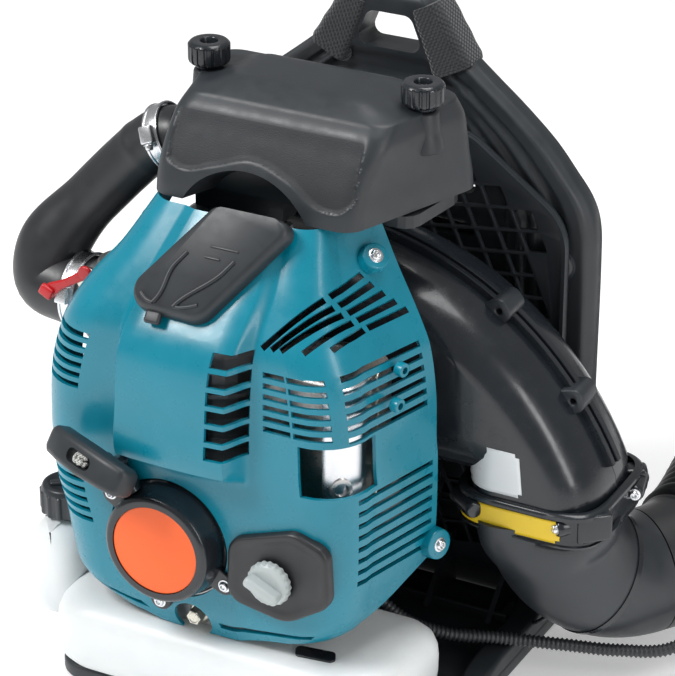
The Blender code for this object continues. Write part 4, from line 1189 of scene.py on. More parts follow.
# ---------------------------------------------------------------- back frame, screen and base
FRAME_FRONT, FRAME_REAR, FRAME_TOP = 104.0, 130.0, 480.0
WIDTHS = [(0, 139), (6, 143), (14, 149), (60, 150), (120, 150), (138, 151.5), (150, 155.5), (165, 160),
          (180, 162.6), (200, 163), (310, 163), (330, 160.5), (345, 154), (360, 142.5), (378, 127.5), (399, 104.5),
          (422, 76), (436, 59), (443, 51), (452, 45), (462, 39.5), (472, 34), (480, 28)]


def frame_relief(x, z, width):
    """How deep the frame's front lies behind its highest plane."""
    edge = width - abs(x)
    depth = 0.0
    depth += 9 * (1 - ease(edge, -0.5, 9)) ** 2
    depth += 2.6 * ease(edge, 19, 22) * (1 - ease(edge, 27, 30))
    depth += 5.5 * ease(edge, 34, 39)
    ribs = 1 - ease(abs(edge - 47), 2.2, 4.2)
    ribs += 1 - ease(abs(edge - 58), 1.6, 3.2)
    depth -= 3.2 * ribs * (1 - ease(z, 372, 402)) * ease(z, 36, 60)
    panel = ease(edge, 66, 72) * (1 - ease(z, 384, 404)) * ease(z, 30, 44)
    depth += 4.5 * panel
    handle = ease(z, 420, 434)
    depth = depth * (1 - handle) + handle * 9 * (1 - ease(edge, -0.5, 11)) ** 2
    depth += 1.6 * (1 - ease(abs(z - 414), 2, 4)) * (1 - ease(abs(x), 64, 74))
    return depth


def back_frame():
    levels = sorted({*(480 * k / 160 for k in range(161))})
    columns = [-1 + 2 * k / 150 for k in range(151)]
    columns = [(abs(s) ** 0.86) * (1 if s > 0 else -1) for s in columns]
    rows = []
    for z in levels:
        width = smooth_keys(WIDTHS, z)[0]
        ends = 6 * (1 - ease(min(z, FRAME_TOP - z), 0, 9)) ** 2
        front = [Vector((s * width, FRAME_FRONT + max(0, frame_relief(s * width, z, width)) + ends, z))
                 for s in columns]
        back = []
        for s in reversed(columns):
            edge = width - abs(s * width)
            round_back = 9 * (1 - ease(edge, -0.5, 9)) ** 2 + ends
            dish = 0
            if edge > 0:
                dish = 3.0 * ease(edge, 24, 30) * (1 - ease(z, 405, 418)) * ease(z, 12, 24)
            back.append(Vector((s * width, FRAME_REAR - round_back * 0.8 - dish, z)))
        rows.append(front + back)
    mesh = finish_mesh(rows_bm(rows), "back_frame", 50)
    opening = rounded([(-28, 434, 7), (28, 434, 7), (17, 461, 8), (-17, 461, 8)], 6)
    holes = [plate_bm([opening], 60, facing_front(117), 0)]
    for side in (-1, 1):
        for z in (84, 120, 300, 336):
            slot = rounded([(side * 44 - 22, z - 6, 6), (side * 44 + 22, z - 6, 6), (side * 44 + 22, z + 6, 6),
                            (side * 44 - 22, z + 6, 6)], 5)
            holes.append(plate_bm([slot], 60, facing_front(117), 0))
    mesh = cut(mesh, holes)
    obj = piece("back_frame_shell", mesh, MATTE, "frame", ["frame_back"])
    mesh.set_sharp_from_angle(angle=radians(50))
    bevelled(obj, 2.2, 3, 60)
    buttons = []
    for side in (-1, 1):
        for x, z in ((139, 294), (139, 92)):
            profile = round_off([(0, 1.6), (2, 1.6), (2.4, 3.2), (5.4, 3.2), (6, 4.4), (9, 4.4), (10.4, 2.6),
                                 (12.4, 2.4),
                                 (12.6, -3), (0, -3)], 0.7, 2)
            buttons.append(lathe_bm(profile, (side * x, FRAME_FRONT + 1, z), (0, -1, 0), 40))
    piece("frame_buttons", joined(buttons, "buttons"), SATIN, "frame")
    for side, word in ((-1, "left"), (1, "right")):
        low, high = Vector((side * 50, 117, 424)), Vector((side * 27, 117, 470))
        along = (high - low).normalized()
        across = Vector((along.z, 0, -along.x)) * side
        wrap_rows = []
        for k in range(25):
            t = k / 24
            point = low.lerp(high, t)
            swell = 1.2 * (ease(t, 0, 0.08) * (1 - ease(t, 0.92, 1))) + 0.25 * sin(t * 19)
            wide = (15.5 - 4.5 * t) + swell
            ring = rounded([(-wide, -15.2, 7), (wide, -15.2, 7), (wide, 15.2, 7), (-wide, 15.2, 7)], 6)
            wrap_rows.append([point + across * a + Vector((0, b, 0)) for a, b in ring])
        bm = rows_bm(wrap_rows)
        add_uv(bm, wrap_rows)
        piece(f"handle_wrap_{word}", finish_mesh(bm, "wrap", 60), WRAP, "frame")


def add_uv(bm, rows):
    """UVs in metres: round the section, and along the rows."""
    layer = bm.loops.layers.uv.new("length")
    places = {}
    travelled = 0.0
    for i, row in enumerate(rows):
        if i:
            travelled += (centre_in(row) - centre_in(rows[i - 1])).length
        around = 0.0
        for k, point in enumerate(row):
            if k:
                around += (point - row[k - 1]).length
            places[i * len(row) + k] = (around * MM, travelled * MM)
    bm.verts.index_update()
    for face in bm.faces:
        for loop in face.loops:
            loop[layer].uv = places.get(loop.vert.index, (0, 0))


def intake_screen():
    outline = rounded([(-128, 30, 20), (128, 30, 20), (140, 130, 20), (148, 180, 30), (148, 330, 40), (70, 386, 30),
                       (-70, 386, 30), (-148, 330, 40), (-148, 180, 30), (-140, 130, 20)], 6)
    inner = [Vector((x * 0.93, 205 + (z - 205) * 0.94)) for x, z in outline]

    def inside(point):
        hit = False
        for a, b in zip(inner, inner[1:] + inner[:1]):
            if (a.y > point.y) != (b.y > point.y):
                if point.x < (b.x - a.x) * (point.y - a.y) / (b.y - a.y) + a.x:
                    hit = not hit
        return hit

    first, second = Vector((17.5, 2.6)), Vector((7.2, -16.4))
    holes = []
    for i in range(-24, 25):
        for j in range(-24, 25):
            centre = Vector((0, 205)) + first * i + second * j
            cell = [centre + first * a * 0.43 + second * b * 0.43 for a, b in ((-1, -1), (1, -1), (1, 1), (-1, 1))]
            if not all(inside(corner) for corner in cell):
                continue
            if any((centre - Vector(spot)).length < 27 for spot in ((-132, 160), (8, 262), (92, 196))):
                continue
            holes.append(rounded([(*corner, 1.4) for corner in cell], 2))
    spots = [circle(x, z, 12) for x, z in ((-132, 160), (8, 262), (92, 196))]
    bm = plate_bm([outline, *spots, *holes], 3.4, facing_front(FRAME_FRONT - 6), 0.5, 1)
    parts = [bm]
    rim = [Vector((x, FRAME_FRONT - 7.5, z)) for x, z in [(p.x * 0.985, 205 + (p.y - 205) * 0.985) for p in outline]]
    rim_rows = []
    for i, point in enumerate(rim):
        along = (rim[(i + 1) % len(rim)] - rim[i - 1]).normalized()
        out = Vector((along.z, 0, -along.x))
        rim_rows.append([point + out * a + Vector((0, b, 0)) for a, b in ((-2, 0), (-1.4, -2.6), (1.4, -2.6),
                                                                          (2, 0), (0, 2))])
    parts.append(rows_bm(rim_rows, ring=True, caps=False))
    piece("screen_lattice", joined(parts, "screen", 35), SATIN, "frame", ["intake_screen"])


def base():
    outline = [(-150, -140, 25), (150, -140, 25), (150, 103.6, 3), (-150, 103.6, 3)]
    bm = plate_bm([rounded(outline, 10)], 12.5, Matrix.Translation(at(0, 0, 6.25)), 3, 3)
    parts = [bm]
    for side in (-1, 1):
        rows = []
        for y, top in ((-34, 12), (-20, 20), (0, 24), (60, 24), (90, 40), (103.4, 76)):
            ring = rounded([(-10.5, 2, 3), (10.5, 2, 3), (10.5, top, 4), (-10.5, top, 4)], 4)
            rows.append([Vector((side * 138.8 + a, y, b)) for a, b in ring])
        parts.append(rows_bm(rows))
        for x in (112, 60):
            rib = [Vector((side * x + dx, y, z)) for dx, y, z in
                   ((-2, 52, 11), (-2, 103.4, 11), (-2, 103.4, 56), (-2, 96, 56))]
            other = [p + Vector((4, 0, 0)) for p in rib]
            parts.append(rows_bm([rib, other]))
    for y in (24, 62):
        parts.append(block_bm((0, y, 15), (250, 4, 9), None, 1.4))
    piece("base_plate", joined(parts, "base", 35), MATTE, "frame", ["frame_base"])


# ---------------------------------------------------------------- tank, intake and exhaust
def tank():
    def section(z, grow):
        left, right, front, rear = -153 - grow, 121 + grow, -146.5 - grow, -32 + grow
        return rounded([(left, front, 34), (right, front, 42), (right, rear, 22), (left, rear, 20)], 12)

    rows = []
    for z, grow in ((13, -9), (15, -4), (20, -0.6), (30, 0.4), (42, 0.6), (50, 0), (57, -2), (62, -6), (65, -11),
                    (66.2, -18)):
        rows.append([Vector((x, y, z)) for x, y in section(z, grow)])
    parts = [rows_bm(rows)]
    neck = []
    for z, grow in ((30, -4), (44, 0), (70, 0.4), (88, -1), (97, -5), (101.5, -10), (103.6, -15)):
        outline = rounded([(-190 - grow, -112 - grow, 20 + grow * 0.5), (-146 + grow, -112 - grow, 18),
                           (-146 + grow, -50 + grow, 16), (-190 - grow, -50 + grow, 18 + grow * 0.5)], 8)
        neck.append([Vector((x, y, z)) for x, y in outline])
    parts.append(rows_bm(neck))
    piece("tank_body", joined(parts, "tank", 60), TANK, "frame", ["fuel_tank"])
    # Painted shadow: a thin glossy black plate on the tank top, fitted under the cover's flared front-right corner,
    # stands for the shade in the gap under the cover's rising bottom edge.
    slot = rounded([(48, -128, 4), (78, -124, 4), (72, -112, 4), (42, -116, 4)], 5)
    piece("tank_painted_shadow", joined([plate_bm([slot], 2, Matrix.Translation(at(0, 0, 66.8)), 0.5)], "tank_painted_shadow"),
          GLOSS, "frame")

    def ribs(angle, height, radius):
        return radius + (1.2 * max(-0.3, cos(angle * 14)) if radius > 18 and height < 19 else 0)

    profile = round_off([(0, 21.5), (11, 22), (15.5, 24), (17.8, 23.2), (19.4, 19.5), (19.4, 2), (18, 0.3),
                         (0, 0.3)], 1.2, 3)
    parts = [lathe_bm(profile, (-168, -82, 104.2), UP, 168, ribs)]
    parts.append(block_bm((-168, -82, 126.6), (26, 6, 4.4), Matrix.Rotation(radians(35), 3, "Z"), 1.8, 3))
    piece("fuel_cap_ribbed", joined(parts, "fuel_cap", 40), SATIN, "fuel_cap", ["fuel_cap"])


def intake():
    knots = [(-100.5, -14, 391), (-124, -16, 383), (-169, -22, 337), (-200, -33, 297), (-202, -41, 271),
             (-184, -43, 266), (-166, -43, 266)]
    guide = smooth_route(knots, 3)
    route = resample(smooth_route(knots, 20), 2)
    total = 2 * len(route)

    def radius(distance, angle):
        flare = 5.2 * ease(distance / total, 0.46, 0.72)
        lip = 0.8 * exp(-((distance - total + 8) / 5) ** 2) + 0.6 * exp(-((distance - 36) / 4) ** 2)
        return 21.2 + flare + lip

    piece("intake_tube", finish_mesh(sweep_bm(route, radius, 72), "intake", 50), RUBBER, "frame",
          ["intake_hose"])
    for word, centre, axis, inner, side in (
            ("lower", Vector((-170.2, -43, 266)), Vector((1, 0, 0)), 27.6, Vector((0, -0.95, 0.3))),
            ("upper", guide[2], (guide[3] - guide[1]).normalized(), 22.0, Vector((-0.1, -0.9, 0.3)))):
        profiles = [[(inner + 1.4, 6), (inner + 1.4, -6), (inner, -6), (inner, 6)]]
        profiles += [[(inner + 2, at_ + 0.8), (inner + 2, at_ - 0.8), (inner + 1, at_ - 0.8), (inner + 1, at_ + 0.8)]
                     for at_ in (-4.6, 4.6)]
        parts = [lathe_bm(round_off(profile, 0.3, 2, True), centre, axis, 96) for profile in profiles]
        out = (side - side.dot(axis) * axis).normalized()
        tangent = out.cross(axis).normalized()
        turn = Matrix((axis, tangent, axis.cross(tangent))).transposed()
        parts.append(block_bm(centre + out * (inner + 4), (10, 13, 7), turn, 1.2, 3))
        parts.append(screw_bm(centre + out * (inner + 4.5) + tangent * 8, tangent, 3, 3.2))
        piece(f"hose_band_{word}", joined(parts, "band", 40), STEEL, "frame", [f"hose_clamp_{word}"])


def carburettor():
    body = [block_bm((-138, -43, 266), (40, 36, 50), None, 4, 3),
            lathe_bm(round_off([(0, 13), (19, 13), (21, 9), (21, 0), (0, 0)], 1, 3), (-138, -61, 262),
                     (0, -1, 0), 48),
            lathe_bm(round_off([(0, 10), (17, 10), (18.5, 7), (18.5, 0), (0, 0)], 1, 3), (-138, -43, 289), UP, 40),
            lathe_bm(round_off([(22.5, 22), (24.6, 20), (24.6, -6), (12, -6), (12, 22)], 1, 3),
                     (-160, -43, 266), (-1, 0, 0), 48),
            block_bm((-138, -43, 240), (30, 26, 12), None, 2, 3)]
    for x in (-153, -123):
        for z in (250, 283):
            body.append(screw_bm((x, -61, z), (0, -1, 0), 3, 2.6))
    piece("carburettor_body", joined(body, "carburettor", 40), ALLOY, "frame", ["carburettor"])
    brass = [lathe_bm(round_off([(0, 16), (4, 16), (5, 13), (5, 0), (0, 0)], 0.6, 2), (-128, -72, 300),
                      (0.1, -0.5, 0.86), 24),
             sweep_bm(smooth_route([(-150, -66, 292), (-138, -78, 300), (-122, -80, 304), (-108, -74, 306)],
                                   8), 1.5, 12),
             lathe_bm(round_off([(0, 4), (9, 4), (9.6, 3), (9.6, 0), (0, 0)], 0.5, 2), (-150, -68, 290),
                      (0, -1, 0.1), 32)]
    piece("carburettor_linkage", joined(brass, "linkage", 40), ZINC, "frame")
    lever = rounded([(-187, 275, 2), (-179, 271, 2), (-168, 282, 5), (-142, 297, 4), (-145, 304, 3),
                     (-168, 289, 5), (-180, 284, 2)], 6)
    parts = [plate_bm([lever], 3.4, facing_front(-76), 1.1, 2)]
    parts.append(lathe_bm(round_off([(0, 3), (4.6, 3), (5.2, 2), (5.2, 0), (0, 0)], 0.6, 2),
                          (-147, -77.4, 300), (0, -1, 0), 32))
    parts.append(block_bm((-180.5, -78.3, 278), (11, 5, 9), Matrix.Rotation(radians(28), 3, "Y"), 1.8, 3))
    piece("choke_tab", joined(parts, "choke", 40), RED, "choke", ["choke_lever"])


def muffler():
    rows = []
    for y, inset in ((-116, 10), (-115, 5), (-110, 0.5), (-100, 0), (-62, 0), (-52, 0.5), (-47, 5), (-46, 10)):
        outline = rounded([(8 + inset, 180 + inset, 14), (84 - inset, 180 + inset, 14), (84 - inset, 280 - inset, 14),
                           (8 + inset, 280 - inset, 14)], 7)
        rows.append([Vector((x, y, z)) for x, z in outline])
    parts = [rows_bm(rows)]
    parts.append(lathe_bm([(5, 16), (8, 16), (8, 0), (5, 0)], (70, -110, 205), (0.7, -0.7, 0), 32))
    piece("muffler_can", joined(parts, "muffler", 40), HOT, "frame", ["muffler"])
    wall = []
    for x, y in ((70, -128), (78, -123), (84, -116), (88, -106), (90, -94)):
        wall.append([Vector((x, y, z)) for z in range(186, 286, 4)])
    shield = finish_mesh(rows_bm(wall, closed=False, caps=False), "shield", 40)
    plate = piece("heat_shield", shield, STEEL, "frame")
    skin = plate.modifiers.new("skin", "SOLIDIFY")
    skin.thickness = 1.0 * MM
    scallops = []
    edge = [Vector((91, -90 + 4 * abs(sin((z - 190) * pi / 22)), z)) for z in range(188, 284, 2)]
    scallops.append(sweep_bm(edge, 1.1, 10))
    piece("shield_edge", joined(scallops, "shield_edge", 60), ZINC, "frame")


# ---------------------------------------------------------------- tube, hose and control handle
PIPE_START = Vector((236, 285, 82))
PIPE_END = Vector((236, 1185, 37.1))
PIPE_DIR = (PIPE_END - PIPE_START).normalized()
PIPE_UP = Vector((0, -PIPE_DIR.z, PIPE_DIR.y))
HANDLE_AT = 105.0


def on_pipe(distance):
    return PIPE_START + PIPE_DIR * distance


def handle_point(side, up, along):
    return on_pipe(HANDLE_AT + along) + Vector((side, 0, 0)) + PIPE_UP * up


def bellows_route(steps):
    start, end = ELBOW_END + ELBOW_OUT * 1.2, PIPE_START - PIPE_DIR * 1.2
    bend = bezier(start + ELBOW_OUT * 4, start + ELBOW_OUT * 70, end - PIPE_DIR * 80, end - PIPE_DIR * 4, steps)
    return [start, start + ELBOW_OUT * 2, *bend, end - PIPE_DIR * 2, end]


def bellows():
    route = resample(bellows_route(60), 1.5)
    middle = min(range(len(route)), key=lambda i: abs(route[i].y - 172))
    total = 1.5 * len(route)

    def corrugated(shift):
        def radius(distance, angle):
            along = distance + shift
            cuff = max(1 - ease(along, 43, 46), ease(along, total - 16, total - 13))
            wave = 0.5 + 0.5 * cos(2 * pi * along / 11.5)
            lip = 1.2 * (1 - ease(abs(along - 40), 1.5, 3))
            return 46.4 + (1 - cuff) * 4.4 * wave ** 0.7 + ease(along, total - 16, total - 13) * 2.6 + lip
        return radius

    for word, points, shift, bodies, start, end in (
            ("lower", route[:middle + 1], 0, ("frame", "hose"), (222, 114, 62), (238, 168, 66)),
            ("upper", route[middle:], middle * 1.5, ("hose", "cuff"), (238, 190, 70), (236, 262, 82))):
        outer = sweep_bm(points, corrugated(shift), 72, caps=False)
        inner = sweep_bm(points, lambda d, a: corrugated(shift)(d, a) - 2.4, 72, caps=False)
        mesh = tube_wall(outer, inner)
        hose = piece(f"bellows_{word}", mesh, RUBBER, None)
        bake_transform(hose)
        if word == "lower":
            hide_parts("flexible_hose")
    profile = round_off([(54, 26), (54, 2), (52, 0.3), (46.6, 0.3), (46.6, 26)], 1, 3)
    parts = [lathe_bm(profile, PIPE_START, PIPE_DIR, 80)]
    for height in (7, 19):
        lip = round_off([(55.2, height + 1.2), (55.2, height - 1.2), (53.4, height - 1.2),
                         (53.4, height + 1.2)], 0.4, 2, True)
        parts.append(lathe_bm(lip, PIPE_START, PIPE_DIR, 80))
    piece("cuff_shell", joined(parts, "cuff", 40), RUBBER, "cuff", ["hose_cuff"])
    band = [lathe_bm(round_off([(55, 4), (55, -4), (53.8, -4), (53.8, 4)], 0.3, 2, True), on_pipe(13), PIPE_DIR, 80),
            block_bm(on_pipe(13) + Vector((-56.5, 0, 0)), (5, 12, 10), None, 1, 2)]
    piece("cuff_band", joined(band, "cuff_band", 40), STEEL, "cuff")


def tube_wall(outer, inner):
    """One closed mesh from two open tubes with the same rings."""
    bm = bmesh.new()
    for part in (outer, inner):
        mesh = bpy.data.meshes.new("part")
        part.to_mesh(mesh)
        part.free()
        bm.from_mesh(mesh)
        bpy.data.meshes.remove(mesh)
    edges = [edge for edge in bm.edges if len(edge.link_faces) == 1]
    centre_y = sum((edge.verts[0].co.y for edge in edges)) / len(edges)
    for keep in (lambda y: y < centre_y, lambda y: y >= centre_y):
        bmesh.ops.bridge_loops(bm, edges=[edge for edge in edges if keep(edge.verts[0].co.y)])
    return finish_mesh(bm, "wall", 60)


def pipes():
    swivel = [(42, 260), (45, 215), (46, 210), (46, 40), (46, 0.2), (43, 0.2), (43, 210), (39.5, 260)]
    parts = [lathe_bm(round_off(swivel, 1.0, 3), PIPE_START, PIPE_DIR, 96)]
    for height in (34, 168, 176):
        lip = round_off([(46.9, height + 1.4), (46.9, height - 1.4), (45, height - 1.4), (45, height + 1.4)],
                        0.7, 2, True)
        parts.append(lathe_bm(lip, PIPE_START, PIPE_DIR, 96))
    piece("swivel_shell", joined(parts, "swivel", 30), GLOSS, "tube", ["swivel_pipe"])
    long_pipe = [(42.5, 460), (43.4, 200), (44.6, 60), (47.5, 54), (47.5, 4), (46.8, 2), (45.6, 2),
                 (43.8, 46), (42.8, 50),
                 (40, 62), (39.5, 460)]
    parts = [lathe_bm(round_off(long_pipe, 1.2, 3), on_pipe(214), PIPE_DIR, 96)]
    for height in (8, 48):
        lip = round_off([(49.2, height + 2), (49.2, height - 2), (46.6, height - 2), (46.6, height + 2)], 0.8,
                        2, True)
        parts.append(lathe_bm(lip, on_pipe(214), PIPE_DIR, 96))
    for k in range(12):
        angle = 2 * pi * k / 12
        out = Vector((cos(angle), 0, 0)) + PIPE_UP * sin(angle)
        turn = Matrix((PIPE_DIR.cross(out), out, PIPE_DIR)).transposed()
        if turn.determinant() < 0:
            turn = Matrix((out.cross(PIPE_DIR), out, PIPE_DIR)).transposed()
        parts.append(block_bm(on_pipe(214 + 28) + out * 47.6, (2.6, 2, 36), turn, 0.7, 2))
    piece("pipe_shell", joined(parts, "pipe", 30), GLOSS, "tube", ["blower_pipe"])
    start = 676
    tip = (PIPE_END - PIPE_START).length - start
    nozzle = [(37, tip), (38, tip - 8), (38.6, tip - 60), (42, 30), (44, 26), (44.4, 0.2), (40.4, 0.2), (34.4, tip)]
    parts = [lathe_bm(round_off(nozzle, 1.4, 3), on_pipe(start), PIPE_DIR, 96)]
    for height, radius in ((4, 46), (22, 46), (tip - 3, 38.4)):
        lip = round_off([(radius, height + 2), (radius, height - 2), (radius - 3.4, height - 2),
                         (radius - 3.4, height + 2)],
                        0.8, 2, True)
        parts.append(lathe_bm(lip, on_pipe(start), PIPE_DIR, 96))
    piece("nozzle_shell", joined(parts, "nozzle", 30), SATIN, "tube", ["nozzle"])


def control_handle():
    axis_turn = Matrix((Vector((1, 0, 0)), PIPE_DIR, PIPE_UP)).transposed()
    if axis_turn.determinant() < 0:
        axis_turn = Matrix((Vector((-1, 0, 0)), PIPE_DIR, PIPE_UP)).transposed()
    ring = round_off([(50.8, 17), (50.8, -17), (47.4, -17), (47.4, 17)], 1.4, 3, True)
    parts = [lathe_bm(ring, on_pipe(HANDLE_AT), PIPE_DIR, 96)]
    for height in (-12, 12):
        lip = round_off([(51.8, height + 2), (51.8, height - 2), (49.6, height - 2), (49.6, height + 2)], 0.7,
                        2, True)
        parts.append(lathe_bm(lip, on_pipe(HANDLE_AT), PIPE_DIR, 96))
    parts.append(block_bm(handle_point(-53, 8, 0), (10, 22, 20), axis_turn, 3, 4))
    neck = smooth_route([handle_point(0, 49, 2), handle_point(0, 58, 0), handle_point(0, 70, -4)], 6)
    parts.append(sweep_bm(neck, lambda d, a: 21 - 5 * ease(d, 0, 20), 40))
    head = []
    for y, wide, tall in ((-44, 6, 8), (-42, 10, 12), (-34, 13, 14), (-12, 13.6, 13.8), (2, 13, 12.4),
                          (5, 9, 9)):
        outline = rounded([(-wide, -tall, 5), (wide, -tall, 5), (wide, tall, 6), (-wide, tall, 6)], 6)
        head.append([handle_point(a, 158 + b, y) for a, b in outline])
    parts.append(rows_bm(head))
    piece("control_body", joined(parts, "control_body", 40), MATTE, "handle", ["control_handle"])
    grip_route = resample(smooth_route([handle_point(0, 64, -2), handle_point(0, 80, -6), handle_point(0, 125, -26),
                                        handle_point(0, 152, -38)], 14), 1.5)

    def fingers(distance, angle):
        swell = 0.9 * sin(distance * 2 * pi / 24 - 0.6) * max(0, cos(angle - pi / 2)) * (1 if distance < 84 else 0)
        return 15.2 + swell + 1.2 * exp(-(distance / 5) ** 2)

    piece("control_grip", finish_mesh(sweep_bm(grip_route, fingers, 48), "grip", 50), RUBBER, "handle")
    blade = rounded([(-5, 144, 1.5), (4, 144, 2.5), (20, 114, 6), (16.5, 101, 4), (11, 102, 2), (7, 116, 6)], 6)
    side_view = basis(PIPE_DIR, PIPE_UP, PIPE_DIR.cross(PIPE_UP), on_pipe(HANDLE_AT))
    piece("trigger_blade", joined([plate_bm([blade], 10, side_view, 1.8, 3)], "trigger"), GLOSS, "trigger",
          ["throttle_trigger"])
    rocker = [block_bm(handle_point(0, 174.8, -14), (10, 16, 6), axis_turn, 1.6, 4)]
    rocker += [block_bm(handle_point(0, 177.8, -14 + d), (8, 1.4, 1.4), axis_turn, 0.5, 2) for d in (-5, -2.5, 0)]
    piece("stop_rocker", joined(rocker, "rocker"), RED, "switch", ["stop_switch"])
    lever = [block_bm(handle_point(-17, 150, -14), (6, 12, 28), axis_turn, 2, 4),
             lathe_bm(round_off([(0, 3), (6, 3), (7, 2), (7, 0), (0, 0)], 0.6, 2),
                      handle_point(-19.4, 160, -14), (-1, 0, 0), 32)]
    piece("lock_lever", joined(lever, "lock"), GLOSS, "lock", ["throttle_lock"])
    screws = [screw_bm(handle_point(13.6, 158 + b, y), (1, 0, 0), 2.6, 1.8) for b, y in ((7, -6), (-7, -6), (6, -34))]
    screws.append(screw_bm(handle_point(-58, 8, 6), (-1, 0, 0), 3, 2))
    screws.append(screw_bm(handle_point(-58, 8, -6), (-1, 0, 0), 3, 2))
    piece("control_screws", joined(screws, "control_screws"), STEEL, "handle")


def throttle_conduit():
    hose = bellows_route(6)
    beside = []
    for before, point, after in zip(hose[2:], hose[3:-2], hose[4:]):
        along = (after - before).normalized()
        beside.append(point + Vector((along.y, -along.x, 0)) * 62 + Vector((0, 0, 5)))
    knots = [(62, -22, 58), (84, -20, 46), (110, -8, 37), (142, 10, 33), (186, 28, 30), (222, 44, 27),
             (258, 62, 30), (286, 100, 50), *beside,
             on_pipe(12) + Vector((60, 0, 14)), on_pipe(56) + Vector((48, 0, 46)), on_pipe(84) + Vector((27, 0, 76)),
             handle_point(44, 128, -4), handle_point(32, 152, -13), handle_point(15.5, 157, -16)]
    route = resample(smooth_route(knots, 24), 0.85)

    def nearest(point):
        return min(range(len(route)), key=lambda i: (route[i] - Vector(point)).length)

    marks = [0, nearest((290, 150, 80)), nearest(on_pipe(6) + Vector((60, 0, 14))),
             nearest(on_pipe(70) + Vector((38, 0, 60))),
             len(route) - 1]

    def ribbed(distance, angle):
        return 4.9 if int(distance / 1.7 + 0.25) % 2 else 3.9

    for k, (low, high) in enumerate(zip(marks, marks[1:])):
        points = route[low:high + 1]
        mesh = finish_mesh(sweep_bm(points, ribbed, 14), "conduit", 80)
        conduit = piece(f"conduit_{k + 1}", mesh, CONDUIT, None)
        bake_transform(conduit)
        if k == 0:
            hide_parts("throttle_cable")


# ---------------------------------------------------------------- harness
def puffed(name, mesh, cap, floor_y=None, voxel=0.005):
    """Cloth pressure swells a closed form; no point moves further than cap millimetres."""
    obj = bpy.data.objects.new(name, mesh)
    bpy.context.scene.collection.objects.link(obj)
    remesh = obj.modifiers.new("even", "REMESH")
    remesh.mode = "VOXEL"
    remesh.voxel_size = voxel
    apply(obj)
    rest = [vert.co.copy() for vert in obj.data.vertices]
    cloth = obj.modifiers.new("cloth", "CLOTH")
    cloth.settings.use_pressure = True
    cloth.settings.uniform_pressure_force = 4.0
    cloth.settings.effector_weights.gravity = 0
    cloth.settings.quality = 4
    cloth.point_cache.frame_start = 1
    cloth.point_cache.frame_end = 20
    scene = bpy.context.scene
    for step in range(1, 21):
        scene.frame_set(step)
    apply(obj)
    scene.frame_set(1)
    for vert, start in zip(obj.data.vertices, rest):
        moved = vert.co - start
        if moved.length > cap * MM:
            vert.co = start + moved.normalized() * cap * MM
        if floor_y is not None:
            vert.co.y = max(vert.co.y, floor_y * MM)
    smoother = obj.modifiers.new("soft", "SUBSURF")
    smoother.levels = 1
    smoother.render_levels = 1
    apply(obj)
    result = obj.data
    bpy.data.objects.remove(obj)
    return result


def sewn(mesh, depth_at, direction):
    """Pulls points in along direction by depth_at(point in millimetres)."""
    for vert in mesh.vertices:
        vert.co -= Vector(direction) * depth_at(vert.co / MM) * MM
    mesh.shade_smooth()
    return mesh


def back_pad():
    outline = rounded([(-88, 55, 26), (88, 55, 26), (94, 160, 40), (86, 330, 34), (-86, 330, 34), (-94, 160, 40)], 8)
    rows = []
    for y, inset in ((131, 4), (133, 1), (137, 0), (140, 2), (142.5, 7)):
        rows.append([Vector((x * (1 - inset / 100), y, 192 + (z - 192) * (1 - inset / 160))) for x, z in outline])
    mesh = puffed("back_pad_form", finish_mesh(rows_bm(rows), "pad"), 6.5, 130.6)

    def channels(point):
        x, y, z = point
        depth = sum(4.6 * exp(-((z - line - 8 * cos(x / 60)) / 4.2) ** 2) for line in (100, 155, 210, 265))
        depth = max(depth, 5.0 * exp(-(x / 8) ** 2) * ease(z, 72, 92) * (1 - ease(z, 292, 312)))
        return depth * ease(y, 136, 143)

    pad = piece("back_pad_soft", sewn(mesh, channels, (0, 1, 0)), PAD_CLOTH, "frame", ["back_pad"])
    loop = [Vector((x * 1.035, 134.5, 192 + (z - 192) * 1.022)) for x, z in outline]
    loop.append(loop[0])
    loop.append(loop[1])
    piping = sweep_bm(resample(loop, 3), lambda d, a: 2.3, 12)
    piece("back_pad_piping", finish_mesh(piping, "piping", 60), WEBBING, "frame")


def strap_frames(route, widths):
    places = []
    for i, point in enumerate(route):
        along = (route[min(i + 1, len(route) - 1)] - route[max(i - 1, 0)]).normalized()
        across = Vector((1, 0, 0))
        across = (across - across.dot(along) * along).normalized()
        places.append((point, along, across, along.cross(across)))
    return places


def band_rows(route, half_width, half_thick, rounding=1.0, lift=0.0):
    rows = []
    for point, along, across, out in strap_frames(route, None):
        ring = rounded([(-half_width, -half_thick, rounding), (half_width, -half_thick, rounding),
                        (half_width, half_thick, rounding), (-half_width, half_thick, rounding)], 3)
        rows.append([point + across * a + out * (b + lift) for a, b in ring])
    return rows


